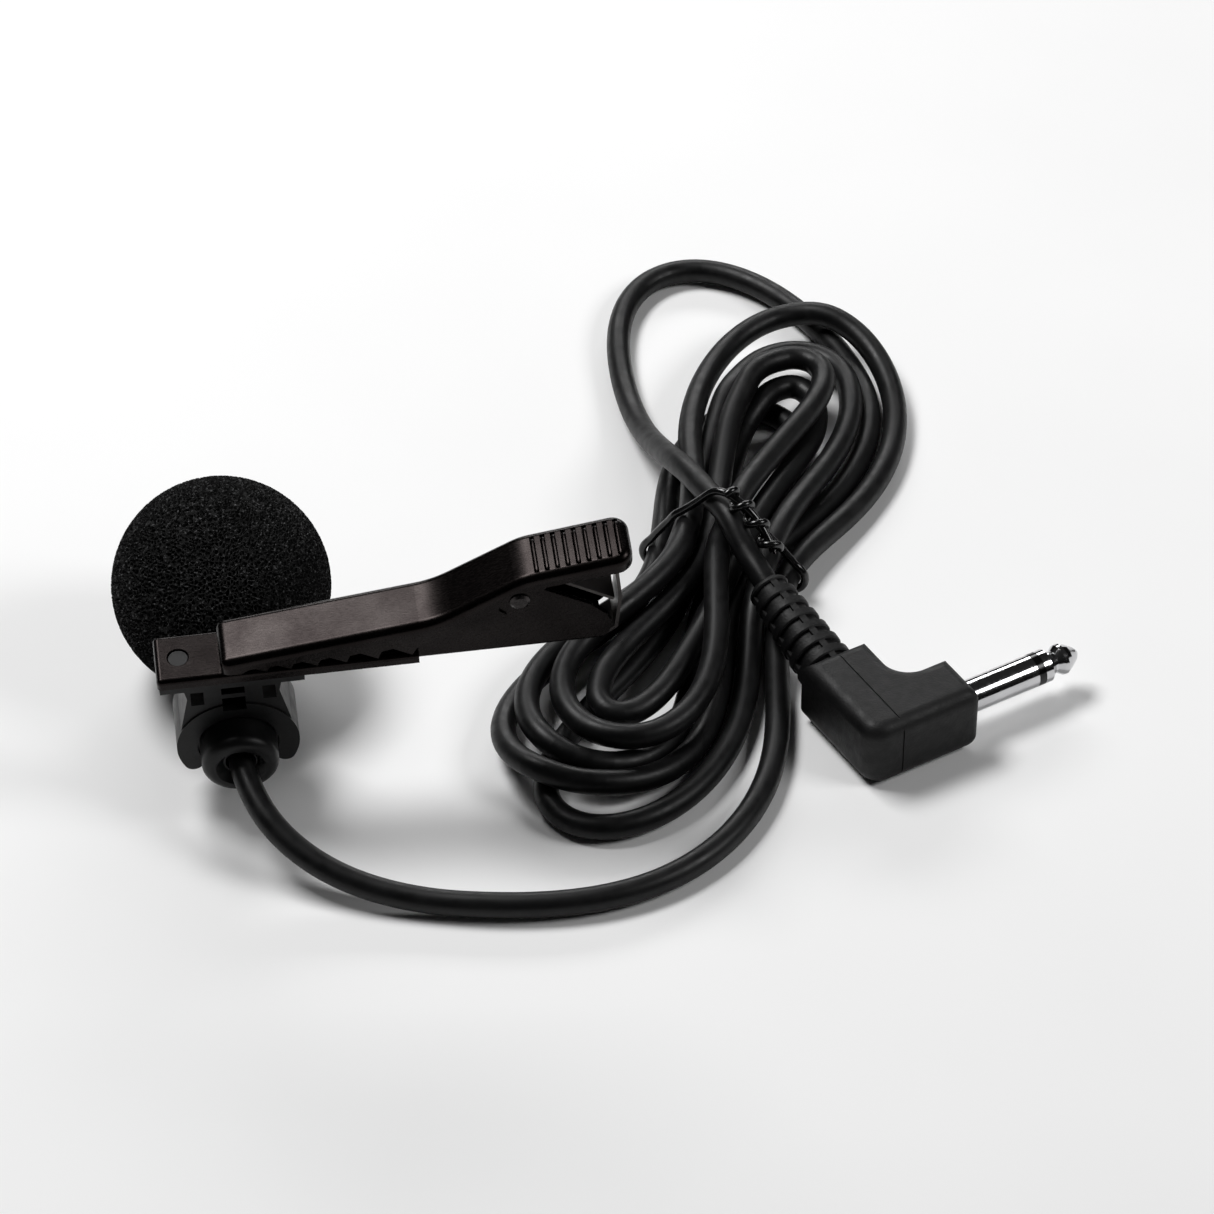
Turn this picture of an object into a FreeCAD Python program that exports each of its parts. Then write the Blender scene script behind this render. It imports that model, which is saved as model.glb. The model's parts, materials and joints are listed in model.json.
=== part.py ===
import FreeCAD, Part
import Sketcher
import math
import os

Vector = FreeCAD.Vector

doc = FreeCAD.newDocument("LavalierMicrophone")
sheet = doc.addObject("Spreadsheet::Sheet", "Dim")

# Every size of the microphone, in millimetres and degrees.
SIZES = [
    # where things lie: the table is z = 0, the foam ball rests on it
    ("centre_x", 1.1, "shift that puts the middle of the footprint on the origin"),
    ("centre_y", -5.3, "shift that puts the middle of the footprint on the origin"),
    ("ball_x", -39.24, "middle of the foam ball"),
    ("ball_y", -9.53, "middle of the foam ball"),
    ("clip_yaw", 7.4, "heading of the clip"),
    ("clip_pitch", -1.77, "slope of the clip"),
    ("clip_roll", 8.5, "tilt of the microphone axis below level"),
    ("plug_x", 36.0, "root of the plug shank"),
    ("plug_y", -18.7, "root of the plug shank"),
    ("plug_yaw", 30.9, "heading of the plug shank"),
    # foam windscreen
    ("foam_r", 11.2, "radius of the foam ball"),
    ("foam_bore_r", 4.05, "radius of the blind bore"),
    ("foam_bore_floor", -2.3, "floor of the bore, from the ball's middle"),
    ("foam_lip_r", 0.5, "rounding at the mouth of the bore"),
    # microphone barrel, measured along its axis from the ball's middle
    ("barrel_r", 4.0, "outer radius of the barrel"),
    ("barrel_bore_r", 3.5, "inner radius of the barrel"),
    ("barrel_head", -1.0, "head end of the barrel"),
    ("barrel_tail", 20.4, "cable end of the barrel"),
    ("grille_t", 0.6, "thickness of the grille face"),
    ("grille_r", 3.95, "radius of the grille face"),
    ("grille_spigot_r", 3.46, "outer radius of the grille spigot"),
    ("grille_spigot_bore_r", 3.1, "inner radius of the grille spigot"),
    ("grille_spigot_end", -0.2, "end of the grille spigot"),
    ("grille_hole_r", 0.28, "radius of a sound hole"),
    ("grille_ring_a", 1.15, "inner ring of sound holes"),
    ("grille_ring_b", 2.3, "outer ring of sound holes"),
    ("felt_r", 3.05, "radius of the felt disc"),
    ("felt_t", 0.4, "thickness of the felt disc"),
    ("felt_z", -0.95, "front of the felt disc"),
    ("sleeve_r", 3.46, "outer radius of the rubber sleeve"),
    ("sleeve_bore_r", 3.04, "inner radius of the rubber sleeve"),
    ("sleeve_z", -0.15, "front of the rubber sleeve"),
    ("sleeve_len", 3.1, "length of the rubber sleeve"),
    # electret capsule
    ("can_r", 3.0, "outer radius of the capsule can"),
    ("can_wall", 0.2, "wall of the capsule can"),
    ("can_z", -0.1, "front of the capsule can"),
    ("can_len", 2.7, "length of the capsule can"),
    ("can_port_r", 0.9, "sound port in the can"),
    ("can_lip_r", 2.3, "inner radius of the crimped lip"),
    ("insert_r", 2.75, "radius of the parts stacked in the can"),
    ("dring_z", 0.14, "front of the diaphragm ring"),
    ("dring_bore_r", 2.2, "inner radius of the diaphragm ring"),
    ("dring_t", 0.25, "thickness of the diaphragm ring"),
    ("diaphragm_z", 0.42, "front of the diaphragm"),
    ("diaphragm_t", 0.08, "thickness of the diaphragm"),
    ("spacer_z", 0.53, "front of the spacer ring"),
    ("spacer_bore_r", 2.35, "inner radius of the spacer ring"),
    ("spacer_t", 0.12, "thickness of the spacer ring"),
    ("backplate_z", 0.68, "front of the backplate"),
    ("backplate_r", 2.3, "radius of the backplate"),
    ("backplate_t", 0.25, "thickness of the backplate"),
    ("backplate_ring", 1.2, "ring of holes in the backplate"),
    ("backplate_hole_r", 0.25, "hole in the backplate"),
    ("backholder_end", 2.03, "end of the backplate holder"),
    ("backholder_seat_r", 2.34, "seat for the backplate"),
    ("backholder_bore_r", 1.95, "inner radius of the backplate holder"),
    ("gate_r", 1.9, "outer radius of the contact ring"),
    ("gate_bore_r", 1.6, "inner radius of the contact ring"),
    ("board_z", 2.06, "front of the capsule board"),
    ("board_t", 0.3, "thickness of the capsule board"),
    ("chip_len", 1.3, "length of the amplifier chip"),
    ("chip_wide", 1.1, "width of the amplifier chip"),
    ("chip_t", 0.55, "thickness of the amplifier chip"),
    ("pad_x", 1.1, "offset of the solder pads"),
    ("pad_r", 0.5, "radius of a solder joint"),
    ("pad_t", 0.45, "height of a solder joint"),
    ("pigtail_r", 0.3, "radius of a lead inside the barrel"),
    # rear cap, cable clamp
    ("cap_r", 3.85, "outer radius of the rear cap"),
    ("cap_end", 24.0, "face of the rear cap"),
    ("cap_shoulder", 20.45, "shoulder of the rear cap"),
    ("cap_round", 1.0, "rounding of the rear cap"),
    ("cap_spigot_r", 3.47, "spigot of the rear cap"),
    ("cap_spigot_z", 18.9, "start of the rear cap's spigot"),
    ("cap_bore_r", 1.5, "cable hole in the rear cap"),
    ("cap_dish_r", 2.5, "dished recess in the rear cap"),
    ("cap_dish", 0.9, "depth of the recess"),
    ("clamp_r", 2.4, "outer radius of the cable clamp"),
    ("clamp_bore_r", 1.33, "inner radius of the cable clamp"),
    ("clamp_z", 15.8, "front of the cable clamp"),
    ("clamp_len", 2.6, "length of the cable clamp"),
    # clip holder, in the clip's own frame: x along the jaws, z away from the barrel
    ("ring_gap", 18.0, "middle of the holder ring, from the ball's middle"),
    ("ring_drop", 9.6, "barrel axis below the underside of the lower jaw"),
    ("ring_bore_r", 4.06, "bore of the holder ring"),
    ("ring_r", 6.1, "outer radius of the holder ring"),
    ("ring_wide", 5.6, "width of the holder ring along the barrel"),
    ("ring_mouth_x", 5.2, "half width of the ring's open side, at its outer edge"),
    ("ring_mouth_z", 4.0, "depth below the axis at which the mouth is measured"),
    ("ring_tip_r", 0.9, "rounding of the ring's arm tips"),
    ("flange_x", 7.1, "half length of the holder flange"),
    ("flange_y", 2.9, "half width of the holder flange"),
    ("flange_t", 0.8, "thickness of the holder flange"),
    ("neck_top_x", 4.9, "half width of the neck at the flange"),
    ("neck_waist_x", 4.55, "half width of the neck at its waist"),
    ("neck_foot_x", 5.5, "half width of the neck where it meets the ring"),
    ("neck_waist_z", -2.3, "height of the neck's waist"),
    ("neck_foot_z", -7.0, "height of the neck's foot"),
    ("window_x", 3.55, "offset of the window through the neck"),
    ("window_z", -2.35, "height of the window"),
    ("window_w", 1.3, "width of the window"),
    ("window_h", 1.9, "height of the window"),
    ("recess_w", 2.3, "width of the cored recesses"),
    ("recess_t", 1.7, "depth of the cored recesses"),
    ("post_x", 5.0, "offset of the holder's posts"),
    ("post_r", 0.95, "radius of a post"),
    ("post_hole_r", 1.1, "hole in the lower jaw for a post"),
    ("post_top", 1.05, "top of a post"),
    # lower jaw
    ("plate_top", 1.2, "top of the lower jaw's front plate"),
    ("plate_tip", -7.3, "front tip of the lower jaw"),
    ("plate_end", 18.4, "end of the front plate"),
    ("plate_y", 3.0, "half width of the front plate"),
    ("sheet_t", 0.55, "thickness of the jaw sheet"),
    ("ear_y", 2.5, "half width over the lower jaw's ears"),
    ("ear_start", 16.8, "start of the ears"),
    ("tail_x", 37.5, "tail of the lower jaw"),
    ("bend_r", 0.5, "outside bend radius of the sheet"),
    # upper jaw
    ("upper_tip", -1.0, "front tip of the upper jaw"),
    ("upper_tip_z", 2.9, "height of the upper jaw's tip"),
    ("upper_y", 3.1, "half width of the upper jaw"),
    ("rise_x", 20.3, "where the upper jaw starts to rise"),
    ("rise_z", 5.75, "height where the rise starts"),
    ("pad_start_x", 29.0, "where the thumb pad starts"),
    ("pad_start_z", 10.6, "height where the thumb pad starts"),
    ("upper_end_x", 39.7, "end of the thumb pad"),
    ("upper_end_z", 12.3, "height of the thumb pad's end"),
    ("upper_sheet_t", 0.5, "thickness of the upper jaw's sheet"),
    ("upper_bend_r", 0.9, "outside bend radius of the upper jaw"),
    ("rise_round", 9.0, "rounding at the foot of the rise"),
    ("pad_round", 6.0, "rounding at the top of the rise"),
    ("end_round", 1.7, "plan rounding of the thumb pad's corners"),
    ("tip_round", 0.9, "plan rounding of the upper jaw's tip"),
    ("teeth", 6, "number of teeth"),
    ("tooth_start", 1.4, "first tooth"),
    ("tooth_pitch", 2.1, "pitch of the first tooth"),
    ("tooth_growth", 0.25, "growth of the pitch from tooth to tooth"),
    ("tooth_h", 0.55, "depth of the first gap between teeth"),
    ("tooth_h_growth", 0.13, "growth of the gap from tooth to tooth"),
    ("tooth_z", 1.3, "height of the tooth tips"),
    ("rib_count", 9, "ribs on the thumb pad"),
    ("rib_pitch", 1.02, "pitch of the ribs"),
    ("rib_gap", 0.5, "width of a groove between ribs"),
    ("rib_h", 0.28, "depth of the grooves"),
    ("rib_y", 2.35, "half length of the grooves"),
    # pivot pin and spring
    ("pivot_x", 28.5, "pivot of the jaws"),
    ("pivot_z", 7.5, "pivot of the jaws"),
    ("pin_r", 0.6, "radius of the pivot pin"),
    ("pin_hole_r", 0.63, "pin hole in the ears"),
    ("pin_run_r", 0.66, "pin hole in the upper jaw"),
    ("pin_head_r", 1.0, "radius of the pin's heads"),
    ("pin_head_t", 0.3, "thickness of the pin's heads"),
    ("pin_seat", 0.2, "depth of the dimple round the pin's heads"),
    ("dimple_w", 4.2, "length of the dimple"),
    ("dimple_h", 2.7, "height of the dimple"),
    ("spring_t", 0.35, "thickness of the spring strip"),
    ("spring_y", 1.75, "half width of the spring strip"),
    # plug, measured from the root of its shank
    ("plug_half", 3.8, "half thickness of the moulded body"),
    ("body_front_y", 3.2, "side of the shank arm"),
    ("body_side_y", -3.4, "closed side of the body"),
    ("body_back_x", -13.2, "back of the body"),
    ("body_inner_x", -5.6, "front of the cable arm"),
    ("body_end_y", 9.6, "end of the cable arm"),
    ("body_edge_r", 1.5, "rounding of the body's edges"),
    ("body_elbow_r", 2.6, "rounding inside the elbow"),
    ("body_heel_r", 2.2, "rounding of the heel"),
    ("seam_x", -9.4, "parting line"),
    ("seam_w", 0.16, "width of the parting line"),
    ("relief_tilt", 12.0, "rise of the strain relief"),
    ("relief_root_r", 3.1, "radius of the strain relief at the body"),
    ("relief_tip_r", 2.15, "radius of the strain relief at its tip"),
    ("relief_len", 13.0, "length of the strain relief"),
    ("relief_ribs", 7, "ribs of the strain relief"),
    ("relief_core", 0.83, "core radius over rib radius"),
    ("relief_bore_r", 1.62, "bore of the strain relief"),
    ("chamber_y", 2.5, "half width of the chamber"),
    ("chamber_z", 2.5, "half height of the chamber"),
    ("shank_r", 1.75, "radius of the plug shank"),
    ("shank_len", 14.0, "length of the plug shank"),
    ("shank_sleeve", 8.4, "length of the sleeve contact"),
    ("shank_band", 0.8, "width of the insulating band"),
    ("shank_inset", 3.6, "length of the shank inside the body"),
    ("shank_bore_r", 1.15, "bore of the sleeve contact"),
    ("band_r", 1.75, "radius of the insulating band"),
    ("liner_r", 1.1, "outer radius of the insulating liner"),
    ("liner_bore_r", 0.7, "inner radius of the insulating liner"),
    ("rod_r", 0.65, "radius of the tip rod"),
    ("rod_tail", 5.4, "length of the tip rod inside the body"),
    ("lug_t", 0.3, "thickness of a solder lug"),
    ("body_toe_r", 1.0, "rounding of the body's front corner"),
    ("end_lip", 1.2, "thickness of the rolled lip at the thumb pad's end"),
    ("web_t", 0.7, "thickness of the webs between the ribs"),
    ("lug_len", 2.2, "length of a solder lug"),
    ("lug_w", 1.4, "width of a solder lug"),
    ("plug_solder_r", 0.6, "radius of a solder joint in the plug"),
    # hank
    ("waist_x", 11.2, "middle of the tied waist"),
    ("waist_y", -0.2, "middle of the tied waist"),
    ("column_pitch", 2.76, "spacing of strands side by side in the waist"),
    ("layer_pitch", 2.4, "spacing of layers in the waist"),
    ("route_step", 1.3, "spacing of the points along the cable"),
    ("cable_room", 1.45, "half the room a strand keeps to the next"),
    ("settle_rounds", 260, "rounds used to lay the strands down"),
    # cable
    ("cable_r", 1.3, "outer radius of the cable"),
    ("jacket_bore_r", 0.98, "inner radius of the jacket"),
    ("shield_r", 0.84, "outer radius of the shield"),
    ("shield_bore_r", 0.72, "inner radius of the shield"),
    ("core_r", 0.65, "outer radius of the core's insulation"),
    ("core_bore_r", 0.38, "inner radius of the core's insulation"),
    ("wire_r", 0.31, "radius of the core's conductor"),
    ("conductor_z", 11.0, "end of the conductor in the barrel, from the ball's middle"),
    ("conductor_back", 8.0, "end of the conductor in the plug, from the root of the relief"),
    ("arc_step", 4.0, "length of cable laid with two arcs"),
    ("strip_step", 0.5, "how much further each inner layer of the cable reaches"),
    ("jacket_strip", 2.0, "length of the jacket stripped at each end"),
    # tie
    ("tie_x", 12.3, "middle of the tie's loop"),
    ("tie_y", 4.2, "middle of the tie's loop"),
    ("tie_r", 0.42, "outer radius of the tie"),
    ("tie_bore_r", 0.18, "inner radius of the tie's coating"),
    ("tie_wire_r", 0.16, "radius of the tie's wire"),
    ("tie_gap", 0.07, "gap between the tie and the strands"),
    ("tie_lift", 0.94, "lift of the strands over the tie"),
    ("tie_knot", 108.0, "where the tail starts, round the loop from the right"),
    ("twist_x", 17.2, "end of the tie's tail"),
    ("twist_y", -0.5, "end of the tie's tail"),
    ("twist_z", 7.6, "end of the tie's tail"),
    ("tail_rise", 0.92, "how far the tail stands above the loop"),
]

for row, (alias, number, meaning) in enumerate(SIZES, start=1):
    sheet.set("A%d" % row, meaning)
    sheet.set("B%d" % row, str(number))
    sheet.setAlias("B%d" % row, alias)
doc.recompute()


def size(alias):
    """Read one size back from the sheet."""
    return float(getattr(sheet, alias))


# ---------------------------------------------------------------- frames

def turned(yaw, pitch, roll):
    return FreeCAD.Rotation(yaw, pitch, roll)


shift = Vector(size("centre_x"), size("centre_y"), 0)
clip_turn = turned(size("clip_yaw"), size("clip_pitch"), size("clip_roll"))
# the microphone's own z axis runs from the foam ball to the cable
mic_turn = clip_turn.multiply(FreeCAD.Rotation(Vector(1, 0, 0), 90))
ball_middle = Vector(size("ball_x"), size("ball_y"), size("foam_r")).add(shift)
mic_frame = FreeCAD.Placement(ball_middle, mic_turn)
clip_origin = mic_frame.multVec(Vector(0, size("ring_drop"), size("ring_gap")))
clip_frame = FreeCAD.Placement(clip_origin, clip_turn)
plug_root = Vector(size("plug_x"), size("plug_y"), size("plug_half") + 0.02).add(shift)
plug_frame = FreeCAD.Placement(plug_root, turned(size("plug_yaw"), 0, 0))


# ---------------------------------------------------------------- helpers

def new_body(label, frame):
    body = doc.addObject("PartDesign::Body", label)
    body.Label = label
    body.Placement = frame
    return body


def new_sketch(body, plane, offset=None):
    sketch = body.newObject("Sketcher::SketchObject", body.Label + "_sketch")
    for item in body.Origin.OriginFeatures:
        if item.Role == plane:
            sketch.AttachmentSupport = [(item, "")]
    sketch.MapMode = "FlatFace"
    if offset:
        sketch.setExpression("AttachmentOffset.Base.z", offset)
    return sketch


def drive(sketch, kinds):
    """Add driving constraints; each is (kind, geometry, point, expression)."""
    constraints = []
    for kind, geometry, point, expression in kinds:
        if kind == "Radius":
            constraints.append(Sketcher.Constraint("Radius", geometry, 1.0))
        else:
            constraints.append(Sketcher.Constraint(kind, -1, 1, geometry, point, 1.0))
    numbers = sketch.addConstraint(constraints)
    for index, (kind, geometry, point, expression) in zip(numbers, kinds):
        sketch.setExpression("Constraints[%d]" % index, str(expression))


def outline(sketch, corners):
    """Closed polygon; every corner is placed by two driving dimensions."""
    count = len(corners)
    first = sketch.GeometryCount
    ring = [Vector(10 * math.cos(2 * math.pi * i / count), 10 * math.sin(2 * math.pi * i / count), 0)
            for i in range(count)]
    sides = [Part.LineSegment(ring[i], ring[(i + 1) % count]) for i in range(count)]
    sketch.addGeometry(sides, False)
    joints = [Sketcher.Constraint("Coincident", first + i, 2, first + (i + 1) % count, 1)
              for i in range(count)]
    sketch.addConstraint(joints)
    kinds = []
    for i, (across, up) in enumerate(corners):
        kinds.append(("DistanceX", first + i, 1, across))
        kinds.append(("DistanceY", first + i, 1, up))
    drive(sketch, kinds)


def open_path(sketch, corners):
    """Chain of straight sides; every corner is placed by two driving dimensions."""
    count = len(corners)
    sides = [Part.LineSegment(Vector(i, i * i, 0), Vector(i + 1, (i + 1) ** 2, 0))
             for i in range(count - 1)]
    sketch.addGeometry(sides, False)
    sketch.addConstraint([Sketcher.Constraint("Coincident", i, 2, i + 1, 1)
                          for i in range(count - 2)])
    kinds = []
    for i, (across, up) in enumerate(corners[:-1]):
        kinds.append(("DistanceX", i, 1, across))
        kinds.append(("DistanceY", i, 1, up))
    kinds.append(("DistanceX", count - 2, 2, corners[-1][0]))
    kinds.append(("DistanceY", count - 2, 2, corners[-1][1]))
    drive(sketch, kinds)


def rectangle(sketch, left, low, right, high):
    outline(sketch, [(left, low), (right, low), (right, high), (left, high)])


def hole(sketch, across, up, radius):
    index = sketch.addGeometry(Part.Circle(Vector(1, 1, 0), Vector(0, 0, 1), 1), False)
    drive(sketch, [("DistanceX", index, 3, across), ("DistanceY", index, 3, up),
                   ("Radius", index, 0, radius)])


def revolved(label, frame, corners, axis="V_Axis", plane="XZ_Plane"):
    body = new_body(label, frame)
    sketch = new_sketch(body, plane)
    outline(sketch, corners)
    turn = body.newObject("PartDesign::Revolution", label + "_turn")
    turn.Profile = sketch
    turn.ReferenceAxis = (sketch, [axis])
    turn.Angle = 360
    body.Tip = turn
    return body


def tube(label, frame, inner, outer, low, high):
    return revolved(label, frame, [(inner, low), (outer, low), (outer, high), (inner, high)])


def pad(body, sketch, length, symmetric=False, reverse=False):
    feature = body.newObject("PartDesign::Pad", body.Label + "_pad")
    feature.Profile = sketch
    feature.setExpression("Length", length)
    if symmetric:
        feature.SideType = "Symmetric"
    feature.Reversed = reverse
    body.Tip = feature
    return feature


def pocket(body, sketch, length=None, symmetric=False, reverse=False):
    feature = body.newObject("PartDesign::Pocket", body.Label + "_pocket")
    feature.Profile = sketch
    if length:
        feature.setExpression("Length", length)
    else:
        feature.Type = "ThroughAll"
    if symmetric:
        feature.SideType = "Symmetric"
    feature.Reversed = reverse
    body.Tip = feature
    return feature


def edge_names(shape, wanted):
    return ["Edge%d" % (i + 1) for i, edge in enumerate(shape.Edges) if wanted(edge)]


def middle(edge):
    return edge.valueAt((edge.FirstParameter + edge.LastParameter) / 2)


def along(edge, direction):
    """True for a straight edge that runs along the direction."""
    if len(edge.Vertexes) != 2 or edge.Curve.TypeId != "Part::GeomLine":
        return False
    run = edge.Vertexes[1].Point.sub(edge.Vertexes[0].Point)
    return abs(abs(run.dot(direction)) - run.Length) < 1e-6


def near(value, target):
    return abs(value - target) < 0.02


def fillet(body, wanted, radius):
    doc.recompute()
    base = body.Tip
    names = edge_names(base.Shape, wanted)
    feature = body.newObject("PartDesign::Fillet", body.Label + "_round")
    feature.Base = (base, names)
    feature.setExpression("Radius", radius)
    body.Tip = feature
    return feature


def cylinder(label, frame, radius, length, at, direction=Vector(0, 0, 1)):
    """Plain rod in its own frame; at and direction are in that frame."""
    rod = doc.addObject("Part::Cylinder", label)
    rod.Label = label
    rod.setExpression("Radius", radius)
    rod.setExpression("Height", length)
    seat = FreeCAD.Placement(at, FreeCAD.Rotation(Vector(0, 0, 1), direction))
    rod.Placement = frame.multiply(seat)
    return rod


AXIS_X = Vector(1, 0, 0)
AXIS_Y = Vector(0, 1, 0)
AXIS_Z = Vector(0, 0, 1)
parts = []

# ---------------------------------------------------------------- foam windscreen

windscreen = new_body("windscreen", mic_frame)
ball = windscreen.newObject("PartDesign::AdditiveSphere", "windscreen_ball")
ball.setExpression("Radius", "Dim.foam_r")
bore = new_sketch(windscreen, "XY_Plane", "Dim.foam_bore_floor")
hole(bore, 0, 0, "Dim.foam_bore_r")
pocket(windscreen, bore, reverse=True)
mouth_z = math.sqrt(size("foam_r") ** 2 - size("foam_bore_r") ** 2)
fillet(windscreen, lambda edge: near(middle(edge).z, mouth_z) and len(edge.Vertexes) == 1,
       "Dim.foam_lip_r")
parts.append(windscreen)

# ---------------------------------------------------------------- barrel and head

parts.append(tube("barrel", mic_frame, "Dim.barrel_bore_r", "Dim.barrel_r",
                  "Dim.barrel_head", "Dim.barrel_tail"))

grille = revolved("grille_cap", mic_frame, [
    (0, "Dim.barrel_head - Dim.grille_t - 0.02"),
    ("Dim.grille_r", "Dim.barrel_head - Dim.grille_t - 0.02"),
    ("Dim.grille_r", "Dim.barrel_head - 0.02"),
    ("Dim.grille_spigot_r", "Dim.barrel_head - 0.02"),
    ("Dim.grille_spigot_r", "Dim.grille_spigot_end"),
    ("Dim.grille_spigot_bore_r", "Dim.grille_spigot_end"),
    ("Dim.grille_spigot_bore_r", "Dim.barrel_head - 0.02"),
    (0, "Dim.barrel_head - 0.02"),
])
holes = new_sketch(grille, "XY_Plane")
hole(holes, 0, 0, "Dim.grille_hole_r")
for ring, count in (("Dim.grille_ring_a", 6), ("Dim.grille_ring_b", 12)):
    for i in range(count):
        angle = 360.0 * i / count
        hole(holes, "%s * cos(%g deg)" % (ring, angle), "%s * sin(%g deg)" % (ring, angle),
             "Dim.grille_hole_r")
pocket(grille, holes, symmetric=True)
parts.append(grille)

parts.append(cylinder("felt_disc", mic_frame, "Dim.felt_r", "Dim.felt_t",
                      Vector(0, 0, size("felt_z"))))
parts.append(tube("capsule_sleeve", mic_frame, "Dim.sleeve_bore_r", "Dim.sleeve_r",
                  "Dim.sleeve_z", "Dim.sleeve_z + Dim.sleeve_len"))

# ---------------------------------------------------------------- electret capsule

parts.append(revolved("capsule_can", mic_frame, [
    ("Dim.can_port_r", "Dim.can_z"),
    ("Dim.can_r", "Dim.can_z"),
    ("Dim.can_r", "Dim.can_z + Dim.can_len"),
    ("Dim.can_lip_r", "Dim.can_z + Dim.can_len"),
    ("Dim.can_lip_r", "Dim.can_z + Dim.can_len - Dim.can_wall"),
    ("Dim.can_r - Dim.can_wall", "Dim.can_z + Dim.can_len - Dim.can_wall"),
    ("Dim.can_r - Dim.can_wall", "Dim.can_z + Dim.can_wall"),
    ("Dim.can_port_r", "Dim.can_z + Dim.can_wall"),
]))
parts.append(tube("diaphragm_ring", mic_frame, "Dim.dring_bore_r", "Dim.insert_r",
                  "Dim.dring_z", "Dim.dring_z + Dim.dring_t"))
parts.append(cylinder("diaphragm", mic_frame, "Dim.insert_r", "Dim.diaphragm_t",
                      Vector(0, 0, size("diaphragm_z"))))
parts.append(tube("spacer_ring", mic_frame, "Dim.spacer_bore_r", "Dim.insert_r",
                  "Dim.spacer_z", "Dim.spacer_z + Dim.spacer_t"))

backplate = new_body("backplate", mic_frame)
plate = new_sketch(backplate, "XY_Plane", "Dim.backplate_z")
hole(plate, 0, 0, "Dim.backplate_r")
for i in range(6):
    hole(plate, "Dim.backplate_ring * cos(%g deg)" % (60 * i),
         "Dim.backplate_ring * sin(%g deg)" % (60 * i), "Dim.backplate_hole_r")
pad(backplate, plate, "Dim.backplate_t")
parts.append(backplate)

seat_z = "Dim.backplate_z + Dim.backplate_t + 0.03"
parts.append(revolved("backplate_holder", mic_frame, [
    ("Dim.backholder_seat_r", "Dim.backplate_z"),
    ("Dim.insert_r", "Dim.backplate_z"),
    ("Dim.insert_r", "Dim.backholder_end"),
    ("Dim.backholder_bore_r", "Dim.backholder_end"),
    ("Dim.backholder_bore_r", seat_z),
    ("Dim.backholder_seat_r", seat_z),
]))
parts.append(tube("contact_ring", mic_frame, "Dim.gate_bore_r", "Dim.gate_r",
                  seat_z, "Dim.backholder_end"))
parts.append(cylinder("capsule_board", mic_frame, "Dim.insert_r", "Dim.board_t",
                      Vector(0, 0, size("board_z"))))

chip = doc.addObject("Part::Box", "amplifier_chip")
chip.Label = "amplifier_chip"
chip.setExpression("Length", "Dim.chip_len")
chip.setExpression("Width", "Dim.chip_wide")
chip.setExpression("Height", "Dim.chip_t")
chip_corner = Vector(-size("chip_len") / 2, -size("chip_wide") / 2,
                     size("board_z") - size("chip_t") - 0.03)
chip.Placement = mic_frame.multiply(FreeCAD.Placement(chip_corner, FreeCAD.Rotation()))
parts.append(chip)

board_back = size("board_z") + size("board_t")
for label, side in (("capsule_solder_core", 1), ("capsule_solder_shield", -1)):
    parts.append(cylinder(label, mic_frame, "Dim.pad_r", "Dim.pad_t",
                          Vector(side * size("pad_x"), 0, board_back + 0.02)))

# ---------------------------------------------------------------- rear cap and cable clamp

rear_cap = revolved("rear_cap", mic_frame, [
    ("Dim.cap_bore_r", "Dim.cap_spigot_z"),
    ("Dim.cap_spigot_r", "Dim.cap_spigot_z"),
    ("Dim.cap_spigot_r", "Dim.cap_shoulder"),
    ("Dim.cap_r", "Dim.cap_shoulder"),
    ("Dim.cap_r", "Dim.cap_end"),
    ("Dim.cap_dish_r", "Dim.cap_end"),
    ("Dim.cap_bore_r + 0.2", "Dim.cap_end - Dim.cap_dish"),
    ("Dim.cap_bore_r", "Dim.cap_end - Dim.cap_dish"),
])
fillet(rear_cap, lambda edge: near(middle(edge).z, size("cap_end"))
       and edge.BoundBox.XMax > size("cap_r") - 0.1, "Dim.cap_round")
parts.append(rear_cap)
parts.append(tube("cable_clamp", mic_frame, "Dim.clamp_bore_r", "Dim.clamp_r",
                  "Dim.clamp_z", "Dim.clamp_z + Dim.clamp_len"))

# ---------------------------------------------------------------- clip holder

holder = new_body("clip_holder", clip_frame)
ring = new_sketch(holder, "XZ_Plane")
hole(ring, 0, "-Dim.ring_drop", "Dim.ring_r")
pad(holder, ring, "Dim.ring_wide", symmetric=True)
neck = new_sketch(holder, "XZ_Plane")
outline(neck, [
    ("-Dim.neck_top_x", "-Dim.flange_t / 2"),
    ("-Dim.neck_waist_x", "Dim.neck_waist_z"),
    ("-Dim.neck_foot_x", "Dim.neck_foot_z"),
    ("Dim.neck_foot_x", "Dim.neck_foot_z"),
    ("Dim.neck_waist_x", "Dim.neck_waist_z"),
    ("Dim.neck_top_x", "-Dim.flange_t / 2"),
])
pad(holder, neck, "Dim.ring_wide - 0.4", symmetric=True)
flange = new_sketch(holder, "XZ_Plane")
rectangle(flange, "-Dim.flange_x", "-Dim.flange_t", "Dim.flange_x", 0)
pad(holder, flange, "2 * Dim.flange_y", symmetric=True)
posts = new_sketch(holder, "XY_Plane")
hole(posts, "-Dim.post_x", 0, "Dim.post_r")
hole(posts, "Dim.post_x", 0, "Dim.post_r")
pad(holder, posts, "Dim.post_top")
bore = new_sketch(holder, "XZ_Plane")
hole(bore, 0, "-Dim.ring_drop", "Dim.ring_bore_r")
pocket(holder, bore, symmetric=True)
mouth = new_sketch(holder, "XZ_Plane")
outline(mouth, [
    (0, "-Dim.ring_drop"),
    ("-2 * Dim.ring_mouth_x", "-Dim.ring_drop - 2 * Dim.ring_mouth_z"),
    ("2 * Dim.ring_mouth_x", "-Dim.ring_drop - 2 * Dim.ring_mouth_z"),
])
pocket(holder, mouth, symmetric=True)
windows = new_sketch(holder, "XZ_Plane")
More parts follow.
